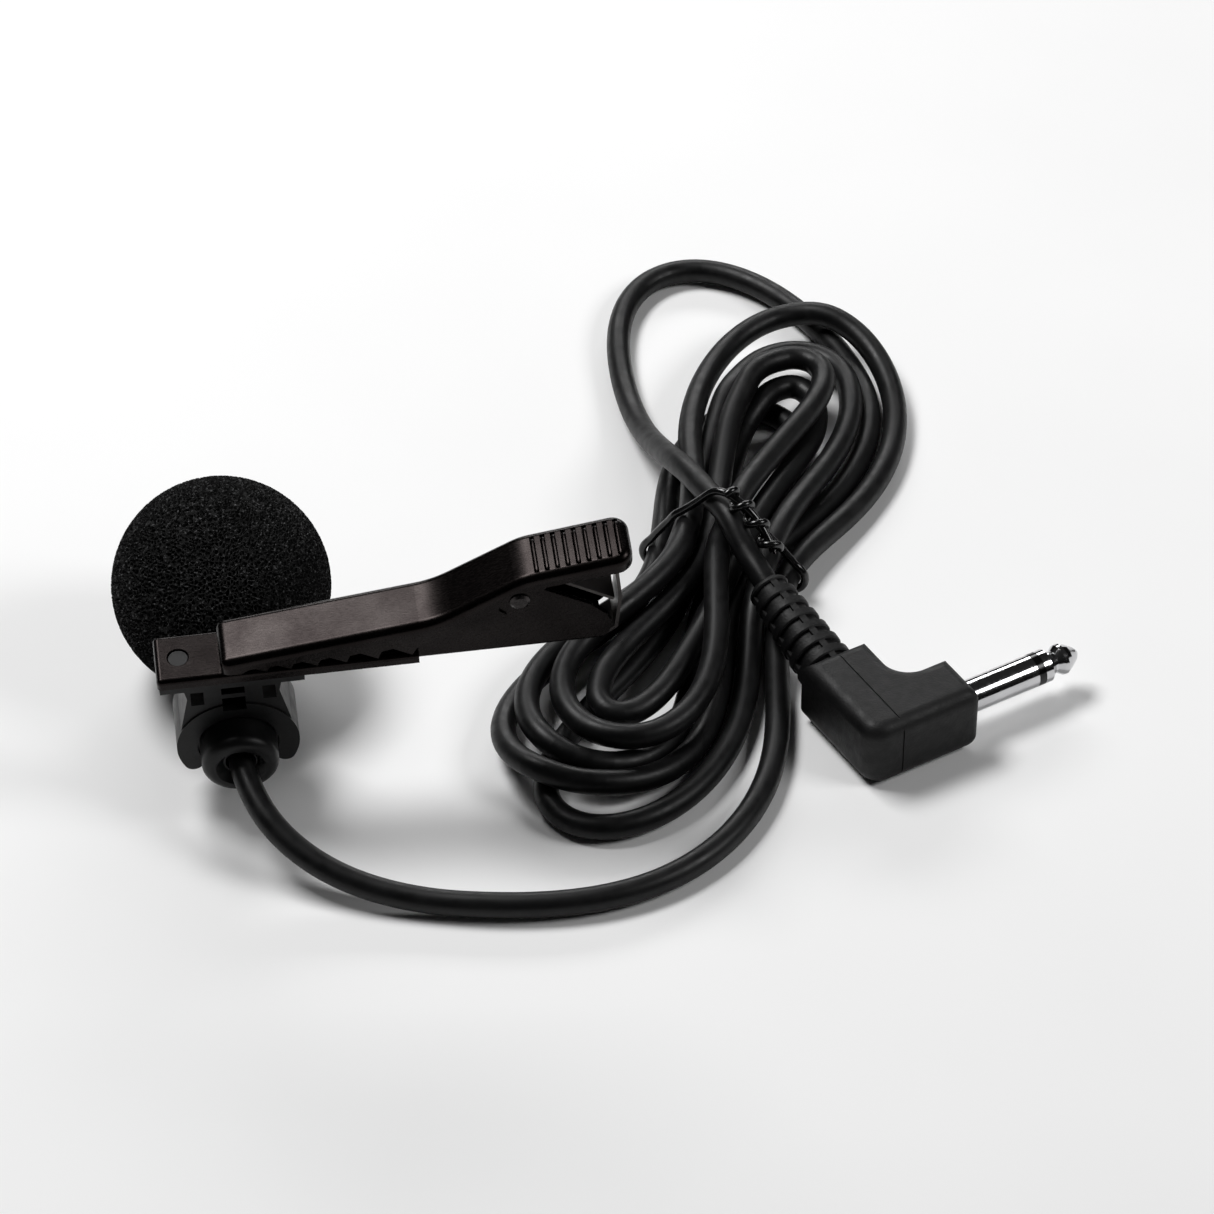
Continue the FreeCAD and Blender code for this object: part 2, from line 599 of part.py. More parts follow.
for side in ("-", ""):
    rectangle(windows, "%sDim.window_x - Dim.window_w / 2" % side, "Dim.window_z - Dim.window_h / 2",
              "%sDim.window_x + Dim.window_w / 2" % side, "Dim.window_z + Dim.window_h / 2")
pocket(holder, windows, symmetric=True)
recesses = new_sketch(holder, "XZ_Plane", "Dim.ring_wide / 2 - Dim.recess_t")
rectangle(recesses, "-Dim.recess_w / 2", "-2.1", "Dim.recess_w / 2", "-1.1")
rectangle(recesses, "-Dim.recess_w / 2", "-4.4", "Dim.recess_w / 2", "-2.7")
pocket(holder, recesses, reverse=True)
arm_tip_z = -size("ring_drop") - 1.0


def ring_arm_corner(edge):
    spot = middle(edge)
    return along(edge, AXIS_Y) and spot.z < arm_tip_z and edge.Length > size("ring_wide") - 0.1


fillet(holder, ring_arm_corner, "Dim.ring_tip_r")
parts.append(holder)

# ---------------------------------------------------------------- lower jaw

lower_jaw = new_body("lower_jaw", clip_frame)
plate = new_sketch(lower_jaw, "XY_Plane")
rectangle(plate, "Dim.plate_tip", "-Dim.plate_y", "Dim.plate_end", "Dim.plate_y")
pad(lower_jaw, plate, "Dim.plate_top")
fillet(lower_jaw, lambda edge: middle(edge).z > 0.1 and middle(edge).x < size("plate_end") - 0.1,
       "Dim.bend_r")
ears = new_sketch(lower_jaw, "XZ_Plane")
EAR = [
    ("Dim.ear_start", 0),
    ("Dim.ear_start", "Dim.plate_top"),
    ("Dim.ear_start + 1.4", "Dim.plate_top + 0.1"),
    (20.2, 4.1),
    (26.0, 7.2),
    ("Dim.pivot_x - 1.2", "Dim.pivot_z + 1.5"),
    ("Dim.pivot_x + 1.2", "Dim.pivot_z + 1.5"),
    ("Dim.pivot_x + 2.4", "Dim.pivot_z + 0.8"),
    (35.4, 5.4),
    ("Dim.tail_x - 0.5", 3.7),
    ("Dim.tail_x", 2.4),
    ("Dim.tail_x - 0.3", 1.0),
    ("Dim.tail_x - 1.4", 0),
]
outline(ears, EAR)
pad(lower_jaw, ears, "2 * Dim.ear_y", symmetric=True)


def ear_bottom(edge):
    spot = middle(edge)
    return near(spot.z, 0) and spot.x > size("plate_end") + 1 and near(abs(spot.y), size("ear_y"))


fillet(lower_jaw, ear_bottom, "Dim.bend_r")
tray = new_sketch(lower_jaw, "XY_Plane")
rectangle(tray, "Dim.plate_tip + Dim.sheet_t", "-Dim.plate_y + Dim.sheet_t",
          "Dim.ear_start - 0.1", "Dim.plate_y - Dim.sheet_t")
pocket(lower_jaw, tray, "Dim.plate_top - Dim.sheet_t", reverse=True)
channel = new_sketch(lower_jaw, "XZ_Plane")
rectangle(channel, "Dim.plate_end + 0.2", "Dim.sheet_t", "Dim.tail_x + 2", 12)
pocket(lower_jaw, channel, "2 * (Dim.ear_y - Dim.sheet_t)", symmetric=True)
post_holes = new_sketch(lower_jaw, "XY_Plane")
hole(post_holes, "-Dim.post_x", 0, "Dim.post_hole_r")
hole(post_holes, "Dim.post_x", 0, "Dim.post_hole_r")
pocket(lower_jaw, post_holes, reverse=True)
pin_holes = new_sketch(lower_jaw, "XZ_Plane")
hole(pin_holes, "Dim.pivot_x", "Dim.pivot_z", "Dim.pin_hole_r")
pocket(lower_jaw, pin_holes, symmetric=True)
parts.append(lower_jaw)

# ---------------------------------------------------------------- upper jaw

upper_jaw = new_body("upper_jaw", clip_frame)
blank = new_sketch(upper_jaw, "XZ_Plane")
outline(blank, [
    ("Dim.upper_tip", 0.4),
    ("Dim.upper_tip", "Dim.upper_tip_z"),
    ("Dim.rise_x", "Dim.rise_z"),
    ("Dim.pad_start_x", "Dim.pad_start_z"),
    ("Dim.upper_end_x", "Dim.upper_end_z"),
    ("Dim.upper_end_x", 8.0),
    (33.0, 5.0),
    (22.0, 0.4),
])
pad(upper_jaw, blank, "2 * Dim.upper_y", symmetric=True)


def across_at(edge, x, z):
    spot = middle(edge)
    return along(edge, AXIS_Y) and near(spot.x, x) and near(spot.z, z)


fillet(upper_jaw, lambda edge: across_at(edge, size("rise_x"), size("rise_z")), "Dim.rise_round")
fillet(upper_jaw, lambda edge: across_at(edge, size("pad_start_x"), size("pad_start_z")), "Dim.pad_round")
fillet(upper_jaw, lambda edge: along(edge, AXIS_Z) and near(middle(edge).x, size("upper_end_x")),
       "Dim.end_round")
fillet(upper_jaw, lambda edge: along(edge, AXIS_Z) and near(middle(edge).x, size("upper_tip")),
       "Dim.tip_round")


def top_rim(edge):
    spot = middle(edge)
    if abs(spot.y) > size("upper_y") - 0.01:
        return edge.BoundBox.ZMin > size("upper_tip_z") - 0.2 and spot.x < size("upper_end_x") - 0.1 \
            and not (spot.z < rim_height(spot.x) - 0.6)
    return (near(spot.x, size("upper_tip")) or near(spot.x, size("upper_end_x"))) \
        and spot.z > rim_height(spot.x) - 0.6


def rim_height(x):
    """Height of the unrounded top line of the upper jaw."""
    knots = [(size("upper_tip"), size("upper_tip_z")), (size("rise_x"), size("rise_z")),
             (size("pad_start_x"), size("pad_start_z")), (size("upper_end_x"), size("upper_end_z"))]
    for (x0, z0), (x1, z1) in zip(knots, knots[1:]):
        if x <= x1 + 0.01:
            return z0 + (z1 - z0) * (x - x0) / (x1 - x0)
    return knots[-1][1]


fillet(upper_jaw, top_rim, "Dim.upper_bend_r")
inside = new_sketch(upper_jaw, "XZ_Plane")
outline(inside, [
    ("Dim.upper_tip + Dim.upper_sheet_t", -1),
    ("Dim.upper_tip + Dim.upper_sheet_t", "Dim.upper_tip_z - 0.9 * Dim.upper_sheet_t"),
    ("Dim.rise_x + 0.15", "Dim.rise_z - Dim.upper_sheet_t"),
    ("Dim.pad_start_x + 0.17", "Dim.pad_start_z - 1.04 * Dim.upper_sheet_t"),
    ("Dim.upper_end_x - Dim.end_lip", "Dim.upper_end_z - 0.16 * Dim.end_lip - 1.02 * Dim.upper_sheet_t"),
    ("Dim.upper_end_x - Dim.end_lip", -1),
])
pocket(upper_jaw, inside, "2 * (Dim.upper_y - Dim.upper_sheet_t)", symmetric=True)

# lower edge of the sides: a row of growing teeth, then the line that runs up to the thumb pad
teeth = new_sketch(upper_jaw, "XZ_Plane")
edge_line = [("Dim.upper_tip - 1", -2), ("Dim.upper_tip - 1", "Dim.tooth_z + 0.1"),
             ("Dim.tooth_start - 0.4", "Dim.tooth_z")]
tooth_x = "Dim.tooth_start"
for i in range(int(size("teeth"))):
    pitch = "(Dim.tooth_pitch + %d * Dim.tooth_growth)" % i
    depth = "(Dim.tooth_h + %d * Dim.tooth_h_growth)" % i
    lift = "Dim.tooth_z + %g" % (0.03 * i)
    edge_line.append(("%s + 0.12 * %s" % (tooth_x, pitch), "%s + 0.8 * %s" % (lift, depth)))
    edge_line.append(("%s + 0.45 * %s" % (tooth_x, pitch), "%s + %s" % (lift, depth)))
    tooth_x = "%s + %s" % (tooth_x, pitch)
    edge_line.append((tooth_x, lift))
edge_line += [
    ("Dim.ear_start + 1.4", 2.3), (20.6, 3.6), (23.4, 4.9), (26.2, 5.8),
    ("Dim.pivot_x - 0.3", "Dim.pivot_z - 1.55"),
    ("Dim.pivot_x + 1.2", "Dim.pivot_z - 0.5"),
    ("Dim.pivot_x + 1.9", "Dim.pivot_z + 0.9"),
    ("Dim.pivot_x + 2.6", "Dim.pivot_z + 1.8"),
    ("Dim.pivot_x + 9", "Dim.pivot_z + 2.7"),
    ("Dim.upper_end_x + 1", "Dim.pivot_z + 3.0"),
    ("Dim.upper_end_x + 1", -2),
]
outline(teeth, edge_line)
pocket(upper_jaw, teeth, symmetric=True)

# thumb pad: grooves cut across its top, following the slope of the pad
lean = (size("upper_end_z") - size("pad_start_z")) / (size("upper_end_x") - size("pad_start_x"))
grooves = new_sketch(upper_jaw, "XZ_Plane")
for i in range(int(size("rib_count"))):
    start = "(Dim.pad_start_x + 1.1 + %d * Dim.rib_pitch)" % i
    floor = "(Dim.pad_start_z + (%s - Dim.pad_start_x) * %.4f - Dim.rib_h)" % (start, lean)
    outline(grooves, [
        (start, floor),
        (start + " + Dim.rib_gap", "%s + Dim.rib_gap * %.4f" % (floor, lean)),
        (start + " + Dim.rib_gap - 0.3", "%s + 2" % floor),
        (start + " - 0.3", "%s + 2" % floor),
    ])
pocket(upper_jaw, grooves, "2 * Dim.rib_y", symmetric=True)

# dimples round the heads of the pivot pin, and the hole for the pin
for side in (1, -1):
    dimple = new_sketch(upper_jaw, "XZ_Plane", "%d * (Dim.upper_y - Dim.pin_seat)" % side)
    outline(dimple, [
        ("Dim.pivot_x - Dim.dimple_w / 2", "Dim.pivot_z - 0.9"),
        ("Dim.pivot_x - 0.6", "Dim.pivot_z - Dim.dimple_h / 2 - 1"),
        ("Dim.pivot_x + Dim.dimple_w / 2 + 1", "Dim.pivot_z - 0.5"),
        ("Dim.pivot_x + Dim.dimple_w / 2", "Dim.pivot_z + Dim.dimple_h / 2"),
        ("Dim.pivot_x - 0.6", "Dim.pivot_z + Dim.dimple_h / 2"),
        ("Dim.pivot_x - Dim.dimple_w / 2", "Dim.pivot_z + 0.4"),
    ])
    pocket(upper_jaw, dimple, reverse=(side > 0))
pin_run = new_sketch(upper_jaw, "XZ_Plane")
hole(pin_run, "Dim.pivot_x", "Dim.pivot_z", "Dim.pin_run_r")
pocket(upper_jaw, pin_run, symmetric=True)
parts.append(upper_jaw)

# ---------------------------------------------------------------- pivot pin and spring

pin_end = "(Dim.upper_y - Dim.pin_seat + 0.03)"
pin_frame = clip_frame.multiply(FreeCAD.Placement(
    Vector(size("pivot_x"), 0, size("pivot_z")), FreeCAD.Rotation(AXIS_X, -90)))
parts.append(revolved("pivot_pin", pin_frame, [
    (0, "-%s - Dim.pin_head_t" % pin_end),
    ("Dim.pin_head_r - 0.3", "-%s - Dim.pin_head_t" % pin_end),
    ("Dim.pin_head_r", "-%s - 0.1" % pin_end),
    ("Dim.pin_head_r", "-%s" % pin_end),
    ("Dim.pin_r", "-%s" % pin_end),
    ("Dim.pin_r", pin_end),
    ("Dim.pin_head_r", pin_end),
    ("Dim.pin_head_r", "%s + 0.1" % pin_end),
    ("Dim.pin_head_r - 0.3", "%s + Dim.pin_head_t" % pin_end),
    (0, "%s + Dim.pin_head_t" % pin_end),
]))

# one strip: hooked under the lower jaw's tail, up to the thumb pad, forward, and back down
leaf_spring = new_body("leaf_spring", clip_frame)
strip_path = new_sketch(leaf_spring, "XZ_Plane")
open_path(strip_path, [
    (32.8, "-0.06 - Dim.spring_t / 2"),
    ("Dim.tail_x - 0.9", "-0.06 - Dim.spring_t / 2"),
    ("Dim.tail_x + 0.5", 0.8),
    ("Dim.tail_x + 0.75", 3.2),
    ("Dim.tail_x + 0.95", 5.2),
    ("Dim.tail_x + 0.5", "Dim.pivot_z + 3.5"),
    ("Dim.pivot_x + 4.6", "Dim.pivot_z + 2.72"),
    ("Dim.pivot_x + 3.2", "Dim.pivot_z + 1.6"),
    ("Dim.tail_x + 0.3", 5.0),
])
strip_end = new_sketch(leaf_spring, "YZ_Plane", "32.8")
rectangle(strip_end, "-Dim.spring_y", "-0.06 - Dim.spring_t", "Dim.spring_y", "-0.06")
strip = leaf_spring.newObject("PartDesign::AdditivePipe", "leaf_spring_strip")
strip.Profile = strip_end
strip.Spine = (strip_path, ["Edge%d" % (i + 1) for i in range(8)])
strip.Transition = "Right corner"
leaf_spring.Tip = strip
parts.append(leaf_spring)

# ---------------------------------------------------------------- plug contacts

parts.append(revolved("plug_sleeve", plug_frame, [
    ("-Dim.shank_inset", "Dim.shank_bore_r"),
    ("-Dim.shank_inset", "Dim.shank_r + 0.5"),
    ("-Dim.shank_inset + 0.8", "Dim.shank_r + 0.5"),
    ("-Dim.shank_inset + 0.8", "Dim.shank_r + 0.2"),
    (-0.02, "Dim.shank_r + 0.2"),
    (-0.02, "Dim.shank_r"),
    ("Dim.shank_sleeve", "Dim.shank_r"),
    ("Dim.shank_sleeve", "Dim.shank_bore_r"),
], axis="H_Axis"))
band = "Dim.shank_sleeve + 0.03"
parts.append(revolved("plug_insulator", plug_frame, [
    ("-Dim.shank_inset - 0.6", "Dim.liner_bore_r"),
    ("-Dim.shank_inset - 0.6", "Dim.liner_r"),
    (band, "Dim.liner_r"),
    (band, "Dim.band_r"),
    (band + " + Dim.shank_band", "Dim.band_r"),
    (band + " + Dim.shank_band", "Dim.liner_bore_r"),
], axis="H_Axis"))
tip = "(Dim.shank_sleeve + Dim.shank_band + 0.06)"
parts.append(revolved("plug_tip", plug_frame, [
    ("-Dim.rod_tail", 0),
    ("-Dim.rod_tail", "Dim.rod_r"),
    (tip, "Dim.rod_r"),
    (tip, "Dim.shank_r"),
    (tip + " + 0.9", "Dim.shank_r"),
    (tip + " + 1.5", "Dim.shank_r - 0.5"),
    (tip + " + 1.9", "Dim.shank_r - 0.58"),
    (tip + " + 2.5", "Dim.shank_r - 0.15"),
    (tip + " + 2.9", "Dim.shank_r - 0.1"),
    (tip + " + 3.5", "Dim.shank_r - 0.4"),
    ("Dim.shank_len - 0.35", "Dim.shank_r - 1.0"),
    ("Dim.shank_len", "Dim.shank_r - 1.4"),
    ("Dim.shank_len", 0),
], axis="H_Axis"))

# ---------------------------------------------------------------- plug body

elbow_body = new_body("plug_elbow", plug_frame)
elbow = new_sketch(elbow_body, "XY_Plane")
outline(elbow, [
    (0, "Dim.body_side_y"),
    (0, "Dim.body_front_y"),
    ("Dim.body_inner_x", "Dim.body_front_y"),
    ("Dim.body_inner_x", "Dim.body_end_y"),
    ("Dim.body_back_x", "Dim.body_end_y"),
    ("Dim.body_back_x", "Dim.body_side_y"),
])
pad(elbow_body, elbow, "2 * Dim.plug_half", symmetric=True)


def upright_at(x, y):
    return lambda edge: along(edge, AXIS_Z) and near(middle(edge).x, x) and near(middle(edge).y, y)


fillet(elbow_body, upright_at(size("body_inner_x"), size("body_front_y")), "Dim.body_elbow_r")
fillet(elbow_body, upright_at(size("body_back_x"), size("body_side_y")), "Dim.body_heel_r")
fillet(elbow_body, upright_at(0, size("body_side_y")), "Dim.body_toe_r")
fillet(elbow_body, lambda edge: near(abs(middle(edge).z), size("plug_half")), "Dim.body_edge_r")
# parting line: a fine groove round the cable arm, square to the shank
for side in (1, -1):
    seam = new_sketch(elbow_body, "XY_Plane", "%d * (Dim.plug_half - 0.12)" % side)
    rectangle(seam, "Dim.seam_x - Dim.seam_w / 2", "Dim.body_side_y - 1",
              "Dim.seam_x + Dim.seam_w / 2", "Dim.body_end_y + 1")
    pocket(elbow_body, seam, reverse=(side > 0))
side_seam = new_sketch(elbow_body, "XZ_Plane", "-Dim.body_side_y - 0.12")
rectangle(side_seam, "Dim.seam_x - Dim.seam_w / 2", "-Dim.plug_half - 1",
          "Dim.seam_x + Dim.seam_w / 2", "Dim.plug_half + 1")
pocket(elbow_body, side_seam, reverse=True)
chamber = new_sketch(elbow_body, "XY_Plane")
rectangle(chamber, "Dim.seam_x - Dim.chamber_y", "-Dim.chamber_y",
          "-Dim.shank_inset + 0.85", "Dim.chamber_y")
pocket(elbow_body, chamber, "2 * Dim.chamber_z", symmetric=True)
shank_hole = new_sketch(elbow_body, "YZ_Plane", "-Dim.shank_inset")
hole(shank_hole, 0, 0, "Dim.shank_r + 0.23")
pocket(elbow_body, shank_hole, reverse=True)

# strain relief: a tapered stack of ribs, tilted up towards the cable
relief_turn = FreeCAD.Rotation(AXIS_X, -90 + size("relief_tilt"))
relief_frame = plug_frame.multiply(FreeCAD.Placement(
    Vector(size("seam_x"), size("body_end_y"), 0), relief_turn))


def relief_r(share):
    return "(Dim.relief_root_r + (Dim.relief_tip_r - Dim.relief_root_r) * %.4f)" % share


ribs = int(size("relief_ribs"))
rib_line = [(0, -2.5), (relief_r(0), -2.5)]
for i in range(ribs):
    low = (i + 0.15) / ribs
    high = (i + 0.6) / ribs
    rib_line.append((relief_r(low) + " * Dim.relief_core", "Dim.relief_len * %.4f" % low))
    rib_line.append((relief_r(low) + " * Dim.relief_core", "Dim.relief_len * %.4f" % high))
    rib_line.append((relief_r(high) + " - 0.12", "Dim.relief_len * %.4f" % high))
    rib_line.append((relief_r(high), "Dim.relief_len * %.4f + 0.15" % high))
    rib_line.append((relief_r(high), "Dim.relief_len * %.4f - 0.15" % ((i + 1.15) / ribs)))
rib_line[2:2] = [(relief_r(0), "Dim.relief_len * %.4f" % (0.15 / ribs))]
rib_line[-1] = (relief_r(1), "Dim.relief_len - 0.3")
rib_line += [(relief_r(1) + " - 0.3", "Dim.relief_len"), (0, "Dim.relief_len")]
relief = revolved("plug_relief", relief_frame, rib_line)
webs = new_sketch(relief, "XZ_Plane")
outline(webs, [
    (relief_r(0) + " - 0.1", 0),
    (relief_r(1) + " - 0.1", "Dim.relief_len - 0.4"),
    (0, "Dim.relief_len - 0.4"),
    (0, 0),
])
web = pad(relief, webs, "Dim.web_t", symmetric=True)
web_ring = relief.newObject("PartDesign::PolarPattern", "plug_relief_webs")
web_ring.Originals = [web]
web_ring.Axis = (webs, ["V_Axis"])
web_ring.Angle = 360
web_ring.Occurrences = 4
relief.Tip = web_ring

moulding = doc.addObject("Part::MultiFuse", "plug_moulding")
moulding.Shapes = [elbow_body, relief]
cable_way = cylinder("plug_cable_way", relief_frame, "Dim.relief_bore_r",
                     "Dim.relief_len + Dim.body_end_y", Vector(0, 0, -(size("body_end_y") - 1.5)))
plug_body = doc.addObject("Part::Cut", "plug_body")
plug_body.Label = "plug_body"
plug_body.Base = moulding
plug_body.Tool = cable_way
parts.append(plug_body)

# ---------------------------------------------------------------- solder lugs in the plug


def block(label, frame, length, width, height, at):
    box = doc.addObject("Part::Box", label)
    box.Label = label
    box.setExpression("Length", length)
    box.setExpression("Width", width)
    box.setExpression("Height", height)
    box.Placement = frame.multiply(FreeCAD.Placement(at, FreeCAD.Rotation()))
    return box


lug_z = -size("lug_t") / 2
rod_end = -size("rod_tail")
flange_back = -size("shank_inset")
parts.append(block("tip_lug", plug_frame, "Dim.lug_len", "Dim.lug_w", "Dim.lug_t",
                   Vector(rod_end - 0.03 - size("lug_len"), -size("lug_w") / 2, lug_z)))
parts.append(block("sleeve_lug", plug_frame, "Dim.lug_len", "Dim.lug_t", "Dim.lug_w",
                   Vector(flange_back - 0.03 - size("lug_len"), -1.75, -size("lug_w") / 2)))
tip_joint = Vector(rod_end - 1.6, 0, size("lug_t") / 2 + 0.02)
sleeve_joint = Vector(flange_back - 1.5, -1.75 + size("lug_t") + 0.02, 0)
parts.append(cylinder("tip_solder", plug_frame, "Dim.plug_solder_r", "Dim.pad_t", tip_joint))
parts.append(cylinder("sleeve_solder", plug_frame, "Dim.plug_solder_r", "Dim.pad_t", sleeve_joint, AXIS_Y))

# ---------------------------------------------------------------- route of the cable

layer_z = [size("cable_r") + 0.03 + i * size("layer_pitch") for i in range(3)]


def waist(column, layer):
    """A place in the tied waist; columns are counted to the right, in cable pitches."""
    across = column * size("column_pitch")
    return (size("waist_x") + 0.963 * across, size("waist_y") - 0.268 * across, layer_z[layer])


def mic_point(along_axis):
    spot = mic_frame.multVec(Vector(0, 0, along_axis)).sub(shift)
    return (spot.x, spot.y, spot.z)


def relief_point(along_axis):
    spot = relief_frame.multVec(Vector(0, 0, along_axis)).sub(shift)
    return (spot.x, spot.y, spot.z)


# The hank lies on the table in two lobes either side of the waist.  Each row is one turn: up the
# right side, over the crown, down the left side.  x and y are as laid out on the table.
LEAD = [(-34.4, -37.6, 6.5), (-30.6, -40.8, 4.8), (-25.4, -43.2, 3.0), (-19.4, -44.8, 1.8), (-12.5, -45.6, 1.4),
        (-5.1, -45.6, 1.4), (4.5, -43.2, 1.4), (12.8, -35.2, 1.4), (16.6, -26.6, 1.4),
        (17.4, -17.0, 1.4), (16.6, -8.0, 1.4)]
OUTER_TOP = [(24.6, 11.6, 1.4), (29.8, 21.4, 1.4), (31.4, 30.5, 1.6), (30.2, 37.5, 2.8),
             (27.2, 43.0, 4.3), (21.6, 46.2, 4.3), (15.6, 43.0, 4.0), (11.4, 35.5, 4.4),
             (9.6, 25.0, 5.4), (8.7, 12.0, 6.1)]
TOP_BOTTOM = [(2.6, -6.2, 6.2), (-4.8, -13.2, 6.2), (-4.6, -21.4, 6.2), (2.6, -27.0, 6.2),
              (9.0, -21.6, 6.2), (11.3, -10.6, 6.2)]
INNER_TOP = [(14.4, 11.5, 6.2), (20.8, 22.8, 6.3), (24.9, 31.0, 6.3), (22.4, 36.4, 6.3),
             (16.8, 33.6, 6.2), (13.2, 22.0, 6.1), (10.9, 11.0, 5.2)]
INNER_BOTTOM = [(4.6, -6.5, 3.8), (-1.4, -15.0, 3.8), (-2.2, -20.6, 3.8), (1.6, -22.6, 3.8),
                (5.8, -18.0, 3.8), (9.2, -9.0, 3.8)]
SHADED_TOP = [(16.0, 11.0, 3.8), (20.9, 21.0, 3.8), (23.4, 30.0, 3.8), (20.8, 35.0, 3.8),
              (15.8, 30.0, 3.6), (11.6, 15.0, 2.4)]
OUTER_BOTTOM = [(4.0, -9.0, 1.4), (-1.6, -17.6, 1.4), (-6.0, -25.4, 1.4), (-7.0, -32.0, 1.4),
                (-2.0, -35.8, 1.4), (5.6, -33.0, 1.4), (12.4, -22.5, 1.4), (14.6, -10.5, 2.6)]
WIDE_TOP = [(18.6, 10.2, 3.8), (24.0, 20.0, 3.9), (27.4, 31.0, 3.9), (26.4, 37.0, 3.9), (22.0, 40.4, 3.9),
            (16.6, 38.2, 3.8), (12.8, 30.0, 3.4), (10.6, 20.0, 3.4), (8.6, 9.0, 3.4)]
LEFT_BOTTOM = [(0.6, -5.4, 3.8), (-6.6, -12.4, 3.8), (-9.0, -20.0, 3.8), (-5.2, -27.0, 3.8),
               (2.2, -27.6, 3.8), (7.8, -20.4, 2.6), (9.6, -10.0, 1.4)]
LOW_TOP = [(15.6, 10.5, 1.4), (20.6, 20.0, 1.4), (21.6, 27.6, 1.4), (17.0, 32.4, 1.4),
           (9.8, 27.4, 1.4), (6.2, 13.4, 1.4)]
LOW_BOTTOM = [(-1.6, -6.6, 1.4), (-8.4, -13.4, 1.4), (-10.9, -22.0, 1.8), (-8.6, -28.6, 3.8),
              (-2.2, -31.2, 3.9), (4.8, -29.0, 3.2), (10.2, -20.0, 1.4), (12.2, -10.0, 1.4)]
BIG_TOP = [(20.0, 9.6, 1.4), (25.6, 18.0, 1.4), (28.4, 27.0, 1.4), (27.6, 36.0, 1.4),
           (24.2, 44.2, 1.4), (19.8, 50.8, 1.4), (15.0, 55.2, 1.4), (9.2, 57.6, 1.4),
           (3.6, 54.2, 1.4), (1.4, 46.0, 1.4), (2.4, 33.0, 1.5), (5.0, 22.4, 3.6),
           (7.8, 14.6, 6.6), (9.8, 8.5, 8.4), (12.0, 3.0, 8.9), (14.6, -1.6, 7.9)]

route = [mic_point(z) for z in (11.0, 18.0, size("cap_end"), size("cap_end") + 2.2)]
route += LEAD + [waist(2, 0)] + OUTER_TOP + [waist(-1, 2)] + TOP_BOTTOM + [waist(0, 2)]
route += INNER_TOP + [waist(-0.5, 1)] + INNER_BOTTOM + [waist(0.5, 1)]
route += SHADED_TOP + [waist(-1, 0)] + OUTER_BOTTOM + [waist(1.5, 1)]
route += WIDE_TOP + [waist(-1.5, 1)] + LEFT_BOTTOM + [waist(0, 0)]
route += LOW_TOP + [waist(-2, 0)] + LOW_BOTTOM + [waist(1, 0)] + BIG_TOP
route += [relief_point(z) for z in (size("relief_len") + 1.0, 6.0, 0.0, -4.0, -8.0)]


def spline_through(points):
    curve = Part.BSplineCurve()
    curve.interpolate([Vector(*point) for point in points])
    return curve


def evenly(curve, step):
    """Points along the curve, about one step apart."""
    count = int(round(curve.length() / step))
    return curve.toShape().discretize(Number=count + 1)


def close_pairs(points, reach, skip):
    """Pairs of points nearer than reach, leaving out neighbours along the cable."""
    cells = {}
    for i, p in enumerate(points):
        cells.setdefault((int(p[0] // reach), int(p[1] // reach)), []).append(i)
    pairs = []
    for (a, b), members in cells.items():
        for da, db in ((0, 0), (1, 0), (0, 1), (1, 1), (1, -1)):
            others = cells.get((a + da, b + db), [])
            for i in members:
                for j in others:
                    if abs(i - j) > skip and ((da, db) != (0, 0) or i < j):
                        pairs.append((i, j))
    return pairs


TIE_LIFT = size("tie_lift")
TIE_X = size("tie_x")
TIE_Y = size("tie_y")


def tie_offset(x, y):
    """Distances of a place from the tie: along the hank and across it."""
    east = x - TIE_X
    north = y - TIE_Y
    return 0.268 * east + 0.963 * north, 0.963 * east - 0.268 * north


def resting_height(x, y, radius):
    """Lowest the cable's middle may lie; the tie passes under the waist and lifts it."""
    lengthwise, across = tie_offset(x, y)
    if abs(across) > 12 or abs(lengthwise) > 15:
        return radius + 0.02
    return radius + 0.02 + TIE_LIFT * (1 - (lengthwise / 15) ** 2) ** 2


def settle(start, room, fixed, rounds):
    """Lay the strands down: each keeps its own room, none sinks below the table, bends stay smooth."""
    here = [list(p) for p in start]
    count = len(here)
    radius = size("cable_r")
    for turn in range(rounds):
        if turn % 5 == 0:
            pairs = close_pairs(here, 2 * max(room) + 0.6, 5)
        if turn < rounds - 12:
            span = 1 + turn % 4
            moved = [list(p) for p in here]
            for i in range(2 * span, count - 2 * span):
                if not fixed[i]:
                    for k in range(3):
                        far = here[i - 2 * span][k] + here[i + 2 * span][k]
                        close = here[i - span][k] + here[i + span][k]
                        smooth = (4 * close - far) / 6
                        home = start[i][k] - here[i][k]
                        pull = 0.03 if k < 2 else 0.004
                        moved[i][k] += 0.6 * (smooth - here[i][k]) + pull * home
                    moved[i][2] -= 0.01
            here = moved
        for i, j in pairs:
            gap = [here[i][k] - here[j][k] for k in range(3)]
            apart = math.sqrt(gap[0] ** 2 + gap[1] ** 2 + gap[2] ** 2)
            need = room[i] + room[j]
            if 1e-6 < apart < need:
                share_i = 0.0 if fixed[i] else (1.0 if fixed[j] else 0.5)
                share_j = 0.0 if fixed[j] else (1.0 if fixed[i] else 0.5)
                for k in range(3):
                    push = gap[k] / apart * (need - apart) * 0.9
                    here[i][k] += push * share_i
                    here[j][k] -= push * share_j
        for i in range(count):
            if not fixed[i]:
                here[i][2] = max(here[i][2], resting_height(here[i][0], here[i][1], radius))
    return here


